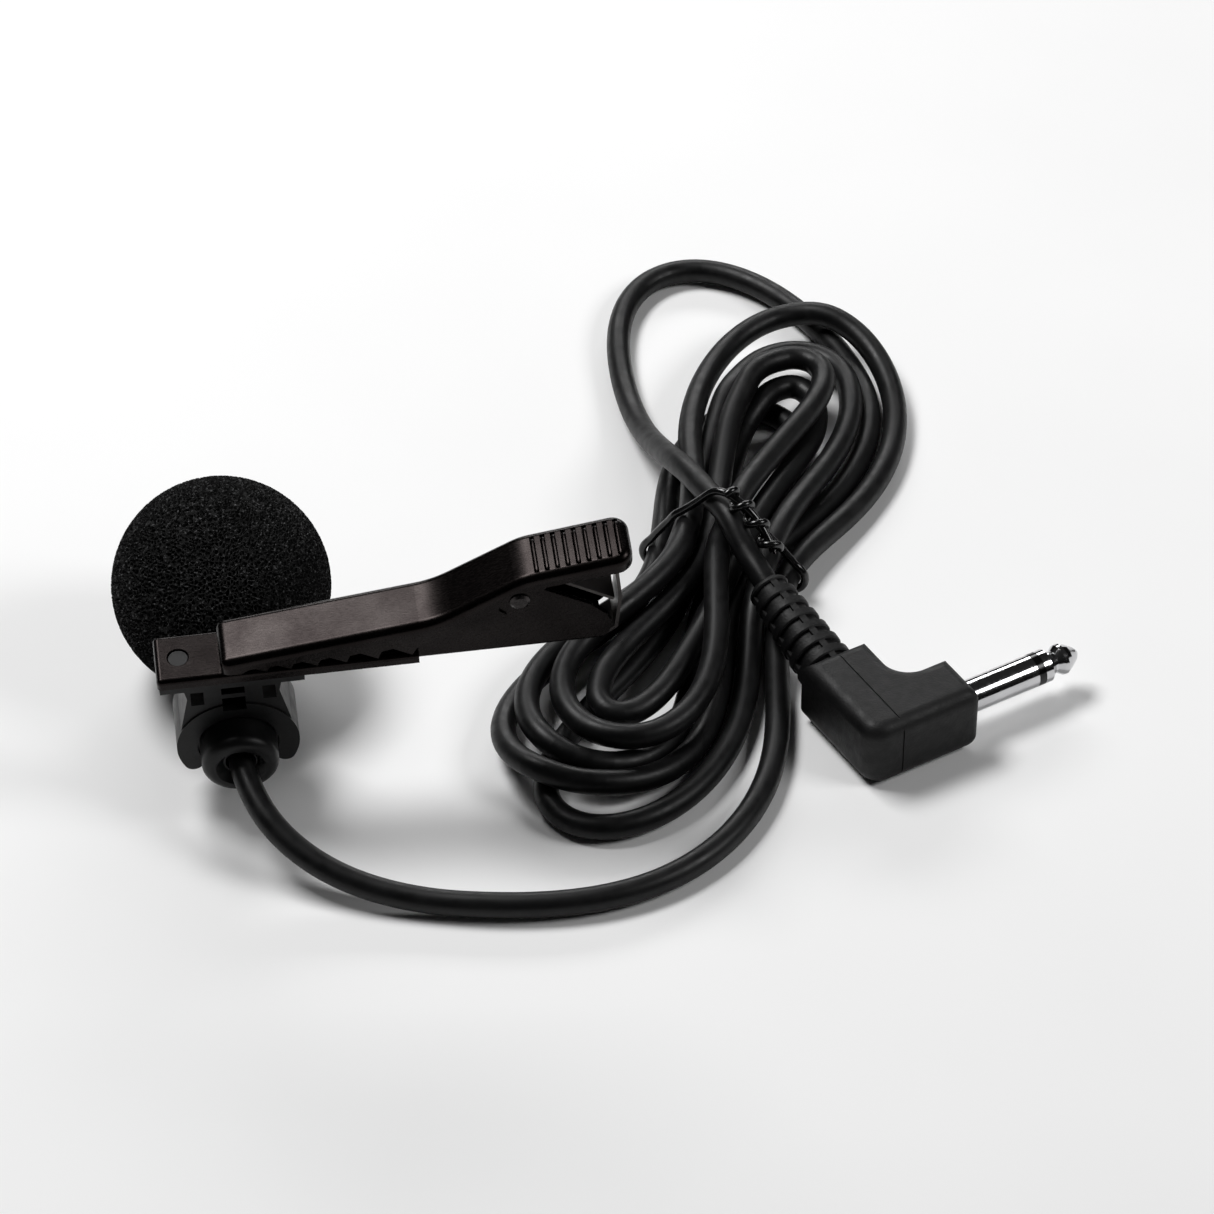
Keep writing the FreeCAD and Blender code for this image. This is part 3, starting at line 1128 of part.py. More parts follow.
laid = [list(p) for p in evenly(spline_through(route), size("route_step"))]
mic_end = mic_point(size("cap_end") + 0.3)
relief_tip = relief_point(size("relief_len"))
held = []
rooms = []
for i, p in enumerate(laid):
    in_mic = i < 40 and p[1] > mic_end[1]
    in_plug = i > len(laid) - 40 and p[1] < relief_tip[1] + 0.5
    held.append(in_mic or in_plug)
    inside_relief = (relief_tip[1] - p[1]) / size("relief_len")
    taper = size("relief_tip_r") + (size("relief_root_r") - size("relief_tip_r")) * inside_relief
    rooms.append(taper + 0.1 if in_plug else size("cable_room"))
settled = settle(laid, rooms, held, int(size("settle_rounds")))

# ---------------------------------------------------------------- round section along a smooth line


def arc_to(start, heading, end):
    """The circular arc that leaves start along heading and reaches end."""
    chord = end.sub(start)
    across = heading.sub(Vector(chord).multiply(heading.dot(chord) / chord.dot(chord)))
    if across.Length < 1e-4:
        return Part.LineSegment(start, end).toShape()
    rise = chord.Length / 2 * math.tan(heading.getAngle(chord) / 2)
    crown = start.add(end).multiply(0.5).add(across.normalize().multiply(rise))
    return Part.Arc(start, crown, end).toShape()


def halfway(start, heading, end, end_heading):
    """Where two tangent arcs between two places meet."""
    chord = end.sub(start)
    both = heading.add(end_heading)
    spread = 2 * (1 - heading.dot(end_heading))
    reach = chord.dot(both)
    if spread < 1e-7:
        handle = chord.dot(chord) / (4 * chord.dot(end_heading))
    else:
        handle = (math.sqrt(reach ** 2 + spread * chord.dot(chord)) - reach) / spread
    return start.add(end).add(heading.sub(end_heading).multiply(handle)).multiply(0.5)


def swept(label, line, radii, trim, step):
    """Rod (one radius) or tube (two radii) of round section, laid in arcs along a smooth line."""
    length = line.length()
    count = max(2, int(round((length - 2 * trim) / step)))
    stride = (length - 2 * trim) / count
    spots = [line.parameterAtDistance(trim, line.FirstParameter)]
    for i in range(count):
        spots.append(line.parameterAtDistance(stride, spots[-1]))
    places = [line.value(spot) for spot in spots]
    headings = [Vector(line.tangent(spot)[0]).normalize() for spot in spots]
    arcs = []
    heading = headings[0]
    for i in range(count):
        meet = halfway(places[i], heading, places[i + 1], headings[i + 1])
        for begin, finish in ((places[i], meet), (meet, places[i + 1])):
            arcs.append(arc_to(begin, heading, finish))
            chord = finish.sub(begin).normalize()
            heading = Vector(chord).multiply(2 * chord.dot(heading)).sub(heading).normalize()
    rims = [Part.Wire([Part.makeCircle(size(alias), places[0], headings[0])]) for alias in radii]
    cap = Part.makeFace(rims, "Part::FaceMakerBullseye").Faces[0]
    item = doc.addObject("Part::Feature", label)
    item.Label = label
    item.Shape = Part.Wire(arcs).makePipe(cap)
    return item


def smooth_line(places):
    line = Part.BSplineCurve()
    line.interpolate(places)
    return line


# ---------------------------------------------------------------- cable, layer by layer

cable_places = [Vector(p[0], p[1], p[2]).add(shift) for p in settled]
cable_line = smooth_line(cable_places[:-2:3] + cable_places[-1:])
strip = size("strip_step")
arc_step = size("arc_step")
parts.append(swept("cable_jacket", cable_line, ["cable_r", "jacket_bore_r"], size("jacket_strip"), arc_step))
parts.append(swept("cable_shield", cable_line, ["shield_r", "shield_bore_r"], 2 * strip, arc_step))
parts.append(swept("cable_insulation", cable_line, ["core_r", "core_bore_r"], strip, arc_step))
parts.append(swept("cable_conductor", cable_line, ["wire_r"], 0.0, arc_step))

# leads from the stripped ends of the cable to the solder joints
mic_wire_end = size("conductor_z")
mic_pad_top = board_back + 0.02 + size("pad_t") + 0.03
plug_wire_end = -size("conductor_back")
beside = size("core_r") + size("pigtail_r") + 0.03


def lead(label, frame, places):
    line = smooth_line([frame.multVec(Vector(*place)) for place in places])
    parts.append(swept(label, line, ["pigtail_r"], 0.0, 1.5))


pad_x = size("pad_x")
lead("mic_core_lead", mic_frame, [
    (0, 0, mic_wire_end - 0.03), (0, 0, 9.8), (0.35, 0, 8.0), (pad_x, 0, 5.4),
    (pad_x, 0, 4.0), (pad_x, 0, mic_pad_top),
])
lead("mic_shield_lead", mic_frame, [
    (-beside, 0, mic_wire_end + 2 * strip - 0.03), (-beside, 0, 10.6), (-pad_x, 0, 8.0),
    (-pad_x, 0, 5.4), (-pad_x, 0, mic_pad_top),
])


def in_plug(along_axis, side=0.0):
    """A place on the strain relief's axis (or beside it), in the plug's own frame."""
    tilt = math.radians(size("relief_tilt"))
    return (size("seam_x") + side, size("body_end_y") + along_axis * math.cos(tilt),
            along_axis * math.sin(tilt))


tip_top = tip_joint.z + size("pad_t")
solder_x = sleeve_joint.x
solder_y = sleeve_joint.y + 0.31
lead("plug_core_lead", plug_frame, [
    in_plug(plug_wire_end - 0.03), in_plug(plug_wire_end - 0.9), (-9.9, -0.4, -1.0), (-9.2, -0.5, 0.8),
    (-7.9, -0.1, 1.6), (tip_joint.x, 0, 1.35), (tip_joint.x, 0, tip_top + 0.03),
])
lead("plug_shield_lead", plug_frame, [
    in_plug(plug_wire_end + 2 * strip - 0.03, beside), in_plug(plug_wire_end - 0.2, beside + 0.1),
    (-7.2, 0.2, -2.0), (-5.9, -0.8, -1.9), (solder_x, solder_y, -1.4),
    (solder_x, solder_y, -size("plug_solder_r") - 0.04),
])

# ---------------------------------------------------------------- tie round the waist

tie_middle = Vector(TIE_X, TIE_Y, 0).add(shift)
across_hank = Vector(0.963, -0.268, 0)
near_tie = [p for p in cable_line.discretize(Distance=0.35) if p.distanceToPoint(tie_middle) < 16]


def kept_clear(places, reach, floor):
    """Move places outwards until they stand the given reach off every strand, above the floor."""
    placed = list(places)
    for turn in range(24):
        for i, place in enumerate(placed):
            push = Vector(0, 0, 0)
            deepest = 0.0
            for strand in near_tie:
                gap = place.sub(strand)
                if deepest < reach - gap.Length:
                    deepest = reach - gap.Length
                    push = gap.normalize().multiply(deepest)
            placed[i] = place.add(push)
            placed[i].z = max(placed[i].z, floor)
    return placed


def tied_strands():
    """Where the strands cross the tie's plane: across the hank, and height."""
    found = []
    offsets = [p.sub(shift) for p in near_tie]
    for p, q in zip(offsets, offsets[1:]):
        before = tie_offset(p.x, p.y)
        after = tie_offset(q.x, q.y)
        if before[0] * after[0] <= 0 and p.distanceToPoint(q) < 1:
            found.append((before[1], p.z))
    return found


def loop_place(angle):
    """Where a tight loop leaves the bundle when seen along the hank at this angle."""
    out = (math.cos(math.radians(angle)), math.sin(math.radians(angle)))
    strand = max(strands, key=lambda s: s[0] * out[0] + s[1] * out[1])
    across = strand[0] + stand_off * out[0]
    return tie_middle.add(Vector(across_hank).multiply(across)).add(
        Vector(0, 0, strand[1] + stand_off * out[1]))


strands = tied_strands()
knot_at = size("tie_knot")
stand_off = size("cable_r") + size("tie_r") + size("tie_gap")
loop = [loop_place(knot_at + 3 * i) for i in range(121)]
loop = Part.makePolygon(loop).discretize(Number=32)
loop = kept_clear(loop[1:-1], stand_off, size("tie_r") + 0.02)
rise = size("tail_rise")
knot = loop_place(knot_at).add(Vector(0, 0, rise))
tail_end = Vector(size("twist_x"), size("twist_y"), size("twist_z")).add(shift)
tail = [tail_end.add(knot.sub(tail_end).multiply(i / 24)) for i in range(25)]
tail = kept_clear(tail, stand_off + rise, size("tie_r") + 0.02)


def eased(places, rounds):
    """Even out the bends of a chain of points; its ends stay."""
    smooth = list(places)
    for turn in range(rounds):
        before = list(smooth)
        for i in range(1, len(smooth) - 1):
            both = before[i - 1].add(before[i + 1])
            smooth[i] = both.add(Vector(before[i]).multiply(2)).multiply(0.25)
    return smooth


# one wire: down the tail, over the knot and once round the bundle
tie_places = Part.makePolygon(eased(tail, 30) + loop[1:-1]).discretize(Number=60)
tie_places = kept_clear(eased(tie_places, 3), stand_off + 0.02, size("tie_r") + 0.02)
tie_line = smooth_line(tie_places)
parts.append(swept("tie_coating", tie_line, ["tie_r", "tie_bore_r"], 0.3, 1.2))
parts.append(swept("tie_wire", tie_line, ["tie_wire_r"], 0.0, 1.2))

# ---------------------------------------------------------------- checks and export

doc.recompute()
for item in doc.Objects:
    if "Invalid" in item.State or "Error" in item.State:
        raise RuntimeError("%s did not rebuild" % item.Label)
for item in parts:
    if item.Shape.isNull() or not item.Shape.isValid() or len(item.Shape.Solids) != 1:
        raise RuntimeError("%s is not one valid solid" % item.Label)

os.makedirs("parts", exist_ok=True)
for item in parts:
    item.Shape.exportStep("parts/%s.step" % item.Label)
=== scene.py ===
import json
import math
import random

import bmesh
import bpy
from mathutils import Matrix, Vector, kdtree


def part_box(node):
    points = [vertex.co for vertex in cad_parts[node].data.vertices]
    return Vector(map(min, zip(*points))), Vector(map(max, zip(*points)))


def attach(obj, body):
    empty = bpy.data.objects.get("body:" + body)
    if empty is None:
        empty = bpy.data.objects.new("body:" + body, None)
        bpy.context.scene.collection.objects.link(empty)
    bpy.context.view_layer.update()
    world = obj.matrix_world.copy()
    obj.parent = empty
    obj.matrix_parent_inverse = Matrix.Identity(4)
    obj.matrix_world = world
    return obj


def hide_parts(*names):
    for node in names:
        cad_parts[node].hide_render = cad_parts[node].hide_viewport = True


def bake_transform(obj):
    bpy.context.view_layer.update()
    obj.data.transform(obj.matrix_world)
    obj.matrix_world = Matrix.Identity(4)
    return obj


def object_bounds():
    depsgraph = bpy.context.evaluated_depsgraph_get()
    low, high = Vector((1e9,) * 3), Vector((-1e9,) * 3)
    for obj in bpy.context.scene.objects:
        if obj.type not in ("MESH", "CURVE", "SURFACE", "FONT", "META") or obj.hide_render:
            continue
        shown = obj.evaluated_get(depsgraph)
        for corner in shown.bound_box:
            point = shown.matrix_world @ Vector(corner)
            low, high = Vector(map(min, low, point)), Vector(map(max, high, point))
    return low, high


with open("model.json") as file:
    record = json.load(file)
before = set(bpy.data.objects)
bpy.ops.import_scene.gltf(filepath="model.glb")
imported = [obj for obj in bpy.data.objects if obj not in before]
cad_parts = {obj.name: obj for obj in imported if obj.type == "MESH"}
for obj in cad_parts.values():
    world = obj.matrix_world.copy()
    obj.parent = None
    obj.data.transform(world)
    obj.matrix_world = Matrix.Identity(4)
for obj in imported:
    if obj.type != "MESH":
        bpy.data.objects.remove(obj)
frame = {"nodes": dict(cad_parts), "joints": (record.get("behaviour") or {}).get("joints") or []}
cad_bounds = [list(corner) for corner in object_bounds()]
nodes = frame["nodes"]
joints = {joint["name"]: joint for joint in frame["joints"]}
scene = bpy.context.scene
MM = 0.001


# ---------------------------------------------------------------- materials

class Finish:
    """A node material built up step by step; sizes of grain are in millimetres."""

    def __init__(self, name, colour, roughness, metallic=0.0):
        self.material = bpy.data.materials.new(name)
        self.material.use_nodes = True
        self.tree = self.material.node_tree
        self.shader = self.tree.nodes["Principled BSDF"]
        self.shader.inputs["Base Color"].default_value = (*colour, 1)
        self.shader.inputs["Roughness"].default_value = roughness
        self.shader.inputs["Metallic"].default_value = metallic
        self.place = self.tree.nodes.new("ShaderNodeTexCoord").outputs["Object"]
        self.bumps = None

    def link(self, output, socket):
        self.tree.links.new(output, socket)

    def noise(self, grain, detail=3.0, stretch=(1, 1, 1)):
        mapping = self.tree.nodes.new("ShaderNodeMapping")
        mapping.inputs["Scale"].default_value = stretch
        self.link(self.place, mapping.inputs["Vector"])
        node = self.tree.nodes.new("ShaderNodeTexNoise")
        node.inputs["Scale"].default_value = 1000.0 / grain
        node.inputs["Detail"].default_value = detail
        self.link(mapping.outputs["Vector"], node.inputs["Vector"])
        return node.outputs["Fac"]

    def cells(self, grain):
        node = self.tree.nodes.new("ShaderNodeTexVoronoi")
        node.inputs["Scale"].default_value = 1000.0 / grain
        self.link(self.place, node.inputs["Vector"])
        return node.outputs["Distance"]

    def ramp(self, source, low, high, start=0.3, stop=0.7):
        node = self.tree.nodes.new("ShaderNodeMapRange")
        node.inputs["From Min"].default_value = start
        node.inputs["From Max"].default_value = stop
        node.inputs["To Min"].default_value = low
        node.inputs["To Max"].default_value = high
        self.link(source, node.inputs["Value"])
        return node.outputs["Result"]

    def tint(self, source, dark, light, start=0.3, stop=0.7):
        node = self.tree.nodes.new("ShaderNodeMix")
        node.data_type = "RGBA"
        node.inputs[6].default_value = (*dark, 1)
        node.inputs[7].default_value = (*light, 1)
        self.link(self.ramp(source, 0, 1, start, stop), node.inputs[0])
        self.link(node.outputs[2], self.shader.inputs["Base Color"])
        return self

    def rough(self, source, low, high):
        self.link(self.ramp(source, low, high), self.shader.inputs["Roughness"])
        return self

    def bump(self, source, height, strength=1.0):
        node = self.tree.nodes.new("ShaderNodeBump")
        node.inputs["Strength"].default_value = strength
        node.inputs["Distance"].default_value = height * MM
        self.link(source, node.inputs["Height"])
        if self.bumps:
            self.link(self.bumps, node.inputs["Normal"])
        self.bumps = node.outputs["Normal"]
        self.link(self.bumps, self.shader.inputs["Normal"])
        return self


def plastic(name, dark, light, low, high, grain, height, shine=0.3):
    finish = Finish(name, dark, low)
    finish.shader.inputs["Specular IOR Level"].default_value = shine
    finish.tint(finish.noise(3.0), dark, light)
    finish.rough(finish.noise(1.1), low, high)
    finish.bump(finish.noise(grain, 2.0), height)
    finish.bump(finish.noise(2.2, 2.0), height * 0.6)
    return finish.material


def metal(name, dark, light, low, high, stretch=(1, 1, 1), height=0.002):
    finish = Finish(name, dark, low, 1.0)
    finish.tint(finish.noise(4.0), dark, light)
    finish.rough(finish.noise(0.5, 4.0, stretch), low, high)
    finish.bump(finish.noise(0.35, 3.0, stretch), height)
    return finish.material


foam = Finish("foam", (0.002, 0.002, 0.002), 0.95)
# painted highlights: small bright specks in the foam's colour stand in for glints on the pore walls
foam.tint(foam.noise(0.28, 1.0), (0.0012, 0.0012, 0.0012), (0.09, 0.09, 0.092), 0.6, 0.74)
foam.bump(foam.cells(0.3), 0.12, 0.9)
foam.shader.inputs["Sheen Weight"].default_value = 0.04
foam.shader.inputs["Sheen Roughness"].default_value = 0.6
foam.shader.inputs["Specular IOR Level"].default_value = 0.2

NEAR_BLACK = (0.0025, 0.0025, 0.0027)
cable_pvc = plastic("cable_pvc", NEAR_BLACK, (0.0045, 0.0045, 0.0048), 0.36, 0.5, 0.25, 0.006, 0.26)
plug_black = plastic("plug_black", NEAR_BLACK, (0.0048, 0.0048, 0.005), 0.46, 0.6, 0.22, 0.03, 0.28)
holder_black = plastic("holder_black", NEAR_BLACK, (0.0045, 0.0045, 0.0047), 0.34, 0.46, 0.3, 0.01, 0.2)
barrel_black = plastic("barrel_black", (0.003, 0.003, 0.0032), (0.005, 0.005, 0.0053),
                       0.26, 0.38, 0.18, 0.006)
tie_black = plastic("tie_black", (0.002, 0.002, 0.0022), (0.004, 0.004, 0.0042),
                    0.14, 0.26, 0.6, 0.012, 0.5)
gloss_black = plastic("gloss_black", (0.002, 0.002, 0.002), (0.004, 0.004, 0.004), 0.1, 0.2, 0.8, 0.004)
soft_black = plastic("soft_black", (0.02, 0.02, 0.02), (0.03, 0.03, 0.03), 0.7, 0.85, 0.2, 0.02)
gunmetal = metal("gunmetal", (0.010, 0.0082, 0.008), (0.017, 0.0145, 0.014), 0.2, 0.32, (1, 6, 1))
dark_steel = metal("dark_steel", (0.03, 0.027, 0.027), (0.05, 0.046, 0.045), 0.2, 0.34)
spring_steel = metal("spring_steel", (0.06, 0.055, 0.054), (0.1, 0.094, 0.09), 0.28, 0.42, (1, 8, 1))
chrome = metal("chrome", (0.5, 0.5, 0.51), (0.6, 0.6, 0.61), 0.07, 0.15)
brass = metal("brass", (0.6, 0.42, 0.16), (0.72, 0.55, 0.25), 0.25, 0.4)
solder = metal("solder", (0.5, 0.5, 0.51), (0.66, 0.66, 0.67), 0.25, 0.45, (1, 1, 1), 0.02)
copper = metal("copper", (0.62, 0.28, 0.15), (0.76, 0.4, 0.22), 0.28, 0.42, (1, 1, 4), 0.02)
alloy = metal("alloy", (0.66, 0.66, 0.67), (0.76, 0.76, 0.77), 0.2, 0.34)
red_core = plastic("red_core", (0.35, 0.03, 0.02), (0.5, 0.05, 0.04), 0.3, 0.45, 0.4, 0.006)
board_green = plastic("board_green", (0.03, 0.16, 0.06), (0.05, 0.24, 0.1), 0.25, 0.4, 0.3, 0.006)
film = plastic("film", (0.55, 0.5, 0.34), (0.7, 0.65, 0.45), 0.2, 0.3, 0.5, 0.002)
felt = Finish("felt", (0.03, 0.03, 0.032), 0.95)
felt.tint(felt.noise(0.2, 6.0), (0.02, 0.02, 0.022), (0.05, 0.05, 0.054))
felt.bump(felt.noise(0.12, 6.0, (1, 1, 0.3)), 0.06)
mesh_steel = Finish("mesh_steel", (0.4, 0.4, 0.41), 0.35, 1.0)
mesh_steel.tint(mesh_steel.cells(0.5), (0.1, 0.1, 0.1), (0.5, 0.5, 0.51), 0.15, 0.5)
mesh_steel.bump(mesh_steel.cells(0.5), 0.08)

FINISH = {
    "windscreen": foam.material, "barrel": barrel_black, "grille_cap": mesh_steel.material,
    "felt_disc": felt.material, "capsule_sleeve": soft_black, "capsule_can": alloy,
    "diaphragm_ring": brass, "diaphragm": film, "spacer_ring": film, "backplate": brass,
    "backplate_holder": soft_black, "contact_ring": brass, "capsule_board": board_green,
    "amplifier_chip": soft_black, "capsule_solder_core": solder, "capsule_solder_shield": solder,
    "rear_cap": holder_black, "cable_clamp": dark_steel, "clip_holder": holder_black,
    "lower_jaw": gunmetal, "upper_jaw": gunmetal, "pivot_pin": dark_steel,
    "leaf_spring": spring_steel, "plug_sleeve": chrome, "plug_insulator": gloss_black,
    "plug_tip": chrome, "plug_body": plug_black, "tip_lug": brass, "sleeve_lug": brass,
    "tip_solder": solder, "sleeve_solder": solder, "cable_jacket": cable_pvc,
    "cable_shield": copper, "cable_insulation": red_core, "cable_conductor": copper,
    "mic_core_lead": red_core, "mic_shield_lead": copper, "plug_core_lead": red_core,
    "plug_shield_lead": copper, "tie_coating": tie_black, "tie_wire": dark_steel,
}
for name, obj in nodes.items():
    if not obj.material_slots:
        obj.data.materials.append(None)
    for slot in obj.material_slots:
        slot.link = "OBJECT"
        slot.material = FINISH[name]


def piece(name, mesh, material, smooth=True):
    """A new piece from a bmesh, with its material."""
    data = bpy.data.meshes.new(name)
    mesh.to_mesh(data)
    mesh.free()
    obj = bpy.data.objects.new(name, data)
    scene.collection.objects.link(obj)
    data.materials.append(material)
    for face in data.polygons:
        face.use_smooth = smooth
    return obj


# ---------------------------------------------------------------- foam windscreen

hinge = joints["clip_turn"]
mic_middle = Vector(hinge["pos_m"])
mic_axis = Vector(hinge["axis"]).normalized()
low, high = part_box("windscreen")
ball_r = max(high[i] - low[i] for i in range(3)) / 2
BORE_R = 4.05 * MM
BORE_FLOOR = -2.3 * MM
PORES = 9500
WALL_WIDTH = 0.16 * MM
PORE_DEPTH = 0.3 * MM

random.seed(11)
pores = []
for i in range(PORES):
    z = random.uniform(-1, 1)
    turn = random.uniform(0, 2 * math.pi)
    flat = math.sqrt(1 - z * z)
    pores.append(Vector((flat * math.cos(turn), flat * math.sin(turn), z)) * ball_r)
tree = kdtree.KDTree(len(pores))
for i, place in enumerate(pores):
    tree.insert(place, i)
tree.balance()

ball = bmesh.new()
bmesh.ops.create_icosphere(ball, subdivisions=8, radius=ball_r)
for vertex in ball.verts:
    near = tree.find_n(vertex.co, 2)
    edge = min((near[1][2] - near[0][2]) / WALL_WIDTH, 1.0)
    sunk = PORE_DEPTH * edge * edge * (3 - 2 * edge)
    along = vertex.co.dot(mic_axis)
    out = vertex.co - mic_axis * along
    if along > 0 and out.length < BORE_R:
        vertex.co = out + mic_axis * BORE_FLOOR
    else:
        vertex.co = vertex.co * (1 - sunk / ball_r)
for vertex in ball.verts:
    vertex.co += mic_middle
windscreen = piece("foam_ball", ball, foam.material, smooth=False)
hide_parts("windscreen")
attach(windscreen, "windscreen")

# ---------------------------------------------------------------- ribs pressed across the thumb pad

RIBS = 9
RIB_PITCH = 1.02 * MM
RIB_START = 1.8 * MM
RIB_HALF_LENGTH = 2.3 * MM
RIB_HALF_WIDTH = 0.34 * MM
RIB_HEIGHT = 0.26 * MM
RING_POINTS = 14
RINGS = 16

jaw = joints["jaw_open"]
across = Vector(jaw["axis"]).normalized()
if across.y < 0:
    across = -across
clip_run = across.cross(Vector((0, 0, 1))).normalized()
clip_up = clip_run.cross(across)
jaw_node = nodes["upper_jaw"]
to_jaw = jaw_node.matrix_world.inverted()


def on_pad(distance):
    """The place on top of the jaw this far behind the pivot, or None past its end."""
    above = Vector(jaw["pos_m"]) + clip_run * distance + clip_up * 20 * MM
    hit, place, _, _ = jaw_node.ray_cast(to_jaw @ above, to_jaw.to_3x3() @ -clip_up)
    return jaw_node.matrix_world @ place if hit else None


ribs = bmesh.new()
for i in range(RIBS):
    middle = on_pad(RIB_START + i * RIB_PITCH)
    if middle is None:
        continue
    slope = (on_pad(RIB_START + i * RIB_PITCH - 0.2 * MM) - middle).normalized()
    out = slope.cross(across).normalized()
    if out.dot(clip_up) < 0:
        out = -out
    rings = []
    for j in range(RINGS + 1):
        share = 2 * j / RINGS - 1
        swell = max(1 - abs(share) ** 8, 0.02) ** 0.5
        ring = []
        for k in range(RING_POINTS):
            turn = 2 * math.pi * k / RING_POINTS
            spot = middle + across * (share * RIB_HALF_LENGTH)
            spot += slope * (RIB_HALF_WIDTH * swell * math.cos(turn))
            spot += out * (RIB_HEIGHT * swell * math.sin(turn))
            ring.append(ribs.verts.new(spot))
        rings.append(ring)
    for near_ring, far_ring in zip(rings, rings[1:]):
        for k in range(RING_POINTS):
            m = (k + 1) % RING_POINTS
            ribs.faces.new((near_ring[k], near_ring[m], far_ring[m], far_ring[k]))
    ribs.faces.new(rings[0][::-1])
    ribs.faces.new(rings[-1])
bmesh.ops.recalc_face_normals(ribs, faces=ribs.faces)
thumb_ribs = piece("thumb_ribs", ribs, gunmetal)
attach(thumb_ribs, "upper_jaw")

# ---------------------------------------------------------------- leaf spring copied into a piece of its own

spring_mesh = bmesh.new()
spring_mesh.from_mesh(nodes["leaf_spring"].data)
spring = piece("spring_strip", spring_mesh, spring_steel, smooth=False)
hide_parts("leaf_spring")
low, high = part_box("leaf_spring")
middle = [(low[0] + high[0]) / 2, (low[1] + high[1]) / 2]
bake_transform(spring)

# ---------------------------------------------------------------- second end of the tie, wound round

TIE_R = 0.42 * MM
TWIST_TURNS = 3.4
COIL_STEPS = 140
COIL_R = 2.02 * TIE_R
WALK_STEP = 0.1 * MM
WALK_REACH = 0.9 * MM
GUIDE_STEPS = (26, 58, 75)


def tail_guides(tie):
    """Four places on the tie's loose tail, found by following its skin from the free end to the knot."""
    skin = [tie.matrix_world @ vertex.co for vertex in tie.data.vertices]
    free_end = min(skin, key=lambda place: place.y)

    def middle_near(spot, reach):
        near = [place for place in skin if (place - spot).length < reach]
        return sum(near, Vector()) / len(near)

    here = middle_near(free_end, WALK_REACH)
    heading = (middle_near(free_end, 2 * WALK_REACH) - here).normalized()
    line = [here]
    for step in range(GUIDE_STEPS[-1]):
        ahead = here + heading * WALK_STEP
        drift = middle_near(ahead, WALK_REACH) - ahead
        ahead += (drift - heading * drift.dot(heading)) * 0.7
        heading = (heading + (ahead - here).normalized() * 0.3).normalized()
        here = ahead
        line.append(here)
    start = line[0]
    run = (line[5] - start).normalized()
    start -= run * (start - free_end).dot(run)
    return [start] + [line[step] for step in GUIDE_STEPS]


TAIL = tail_guides(nodes["tie_coating"])


def on_tail(share):
    """A place on the tail's middle line, and its heading."""
    a, b, c, d = TAIL
    rest = 1 - share
    place = a * rest ** 3 + b * (3 * share * rest ** 2)
    place += c * (3 * share ** 2 * rest) + d * share ** 3
    run = (b - a) * rest ** 2 + (c - b) * (2 * share * rest) + (d - c) * share ** 2
    return place, run.normalized()


coil_data = bpy.data.curves.new("tie_twist", "CURVE")
coil_data.dimensions = "3D"
coil_data.bevel_depth = TIE_R
coil_data.bevel_resolution = 6
coil_data.use_fill_caps = True
coil = coil_data.splines.new("POLY")
coil.points.add(COIL_STEPS)
for i in range(COIL_STEPS + 1):
    share = i / COIL_STEPS
    place, run = on_tail(share)
    side = run.cross(Vector((0, 0, 1))).normalized()
    up = side.cross(run)
    turn = 2 * math.pi * TWIST_TURNS * share
    offset = (side * math.cos(turn) + up * math.sin(turn)) * COIL_R
    coil.points[i].co = (*(place + offset), 1)
twist = bpy.data.objects.new("tie_twist", coil_data)
scene.collection.objects.link(twist)
coil_data.materials.append(tie_black)
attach(twist, "microphone")

# ---------------------------------------------------------------- studio

FLOOR_HALF = 3.0
FLOOR_DROP = 0.2 * MM

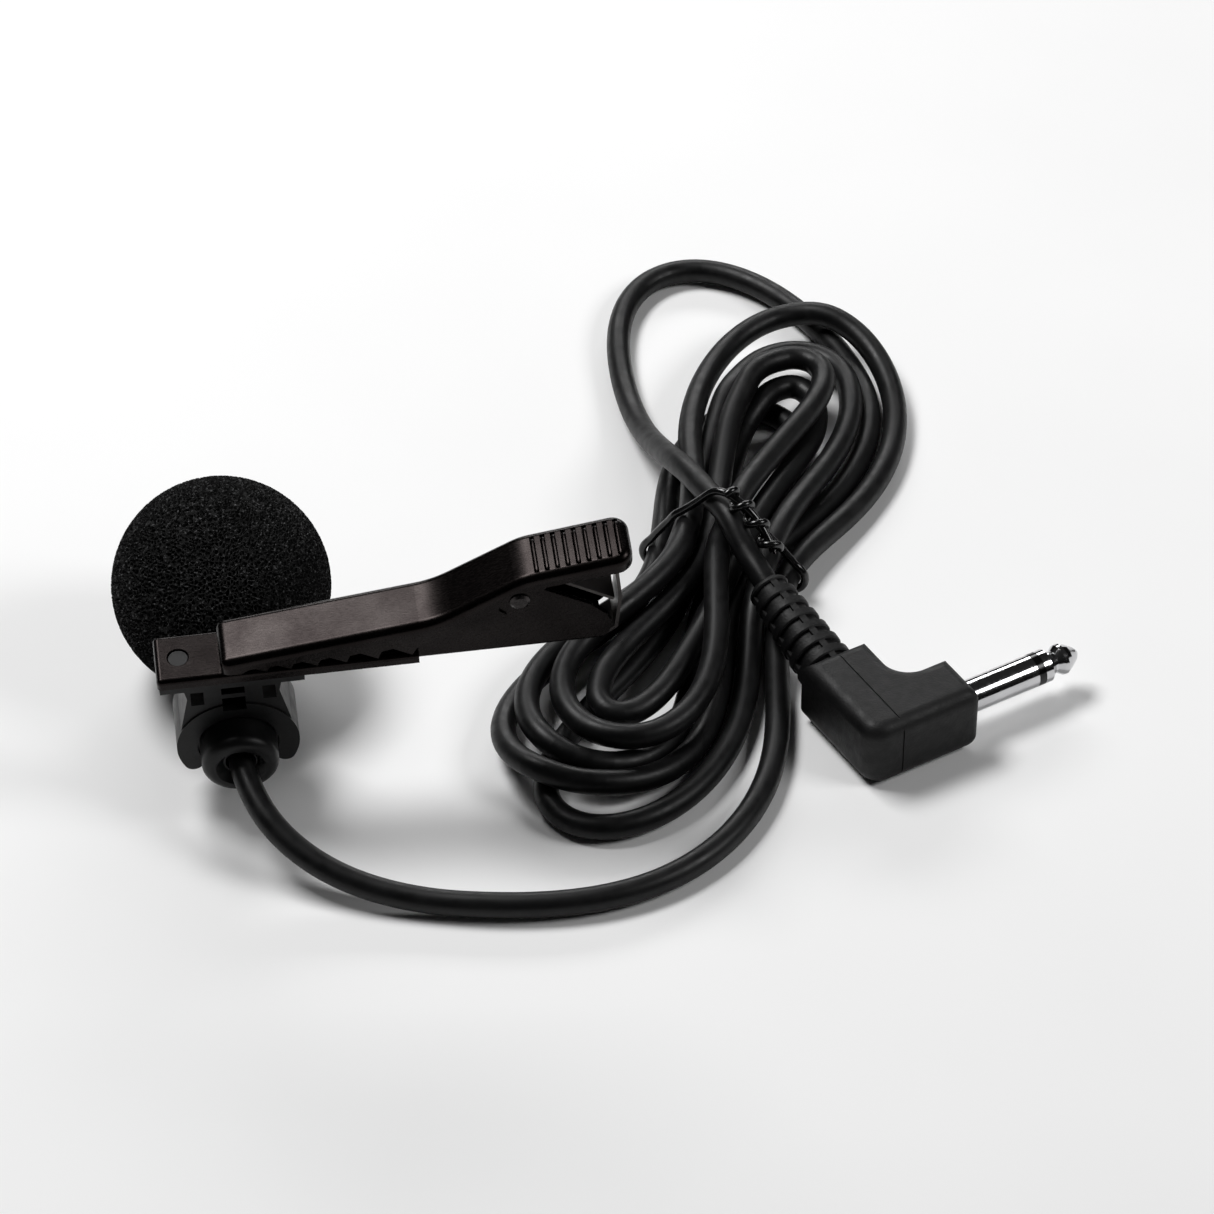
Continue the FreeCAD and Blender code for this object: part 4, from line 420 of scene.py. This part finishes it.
floor_mesh = bmesh.new()
bmesh.ops.create_grid(floor_mesh, x_segments=1, y_segments=1, size=FLOOR_HALF)
floor = bpy.data.objects.new("floor", bpy.data.meshes.new("floor"))
floor_mesh.to_mesh(floor.data)
floor_mesh.free()
scene.collection.objects.link(floor)
floor.location.z = cad_bounds[0][2] - FLOOR_DROP
pale = Finish("pale_floor", (0.86, 0.86, 0.86), 0.7)
pale.tint(pale.noise(60.0), (0.85, 0.85, 0.85), (0.88, 0.88, 0.88))
floor.data.materials.append(pale.material)

world = bpy.data.worlds.new("studio")
world.use_nodes = True
sky = world.node_tree
direction = sky.nodes.new("ShaderNodeTexCoord")
split = sky.nodes.new("ShaderNodeSeparateXYZ")
height = sky.nodes.new("ShaderNodeMapRange")
height.inputs["From Min"].default_value = 0.05
height.inputs["From Max"].default_value = 0.9
height.inputs["To Min"].default_value = 0.06
height.inputs["To Max"].default_value = 0.5
sky.links.new(direction.outputs["Generated"], split.inputs["Vector"])
sky.links.new(split.outputs["Z"], height.inputs["Value"])
sky.links.new(height.outputs["Result"], sky.nodes["Background"].inputs["Strength"])
scene.world = world


def softbox(name, place, aim, width, height, power):
    data = bpy.data.lights.new(name, "AREA")
    data.shape = "RECTANGLE"
    data.size = width
    data.size_y = height
    data.energy = power
    lamp = bpy.data.objects.new(name, data)
    lamp.location = place
    lamp.rotation_euler = (Vector(aim) - Vector(place)).to_track_quat("-Z", "Y").to_euler()
    scene.collection.objects.link(lamp)


softbox("key", (-0.25, 0.15, 0.55), (0, 0, 0), 0.3, 0.2, 3.2)
softbox("fill", (0.45, -0.1, 0.4), (0, 0, 0), 0.2, 0.2, 1.2)
softbox("rim", (0.0, 0.6, 0.3), (0, 0, 0), 0.5, 0.12, 1.5)

CAMERA_TILT = math.radians(41)
CAMERA_DISTANCE = 0.52
LOOK_AT = Vector((1.1, -5.3, 0)) * MM

camera_data = bpy.data.cameras.new("camera")
camera_data.sensor_width = 36
camera_data.lens = 147.3
camera_data.clip_start = 0.01
camera = bpy.data.objects.new("camera", camera_data)
scene.collection.objects.link(camera)
back = Vector((0, -math.cos(CAMERA_TILT), math.sin(CAMERA_TILT)))
camera.location = LOOK_AT + back * CAMERA_DISTANCE
camera.rotation_euler = (LOOK_AT - camera.location).to_track_quat("-Z", "Y").to_euler()
scene.camera = camera
scene.view_settings.view_transform = "Standard"

bpy.context.view_layer.update()
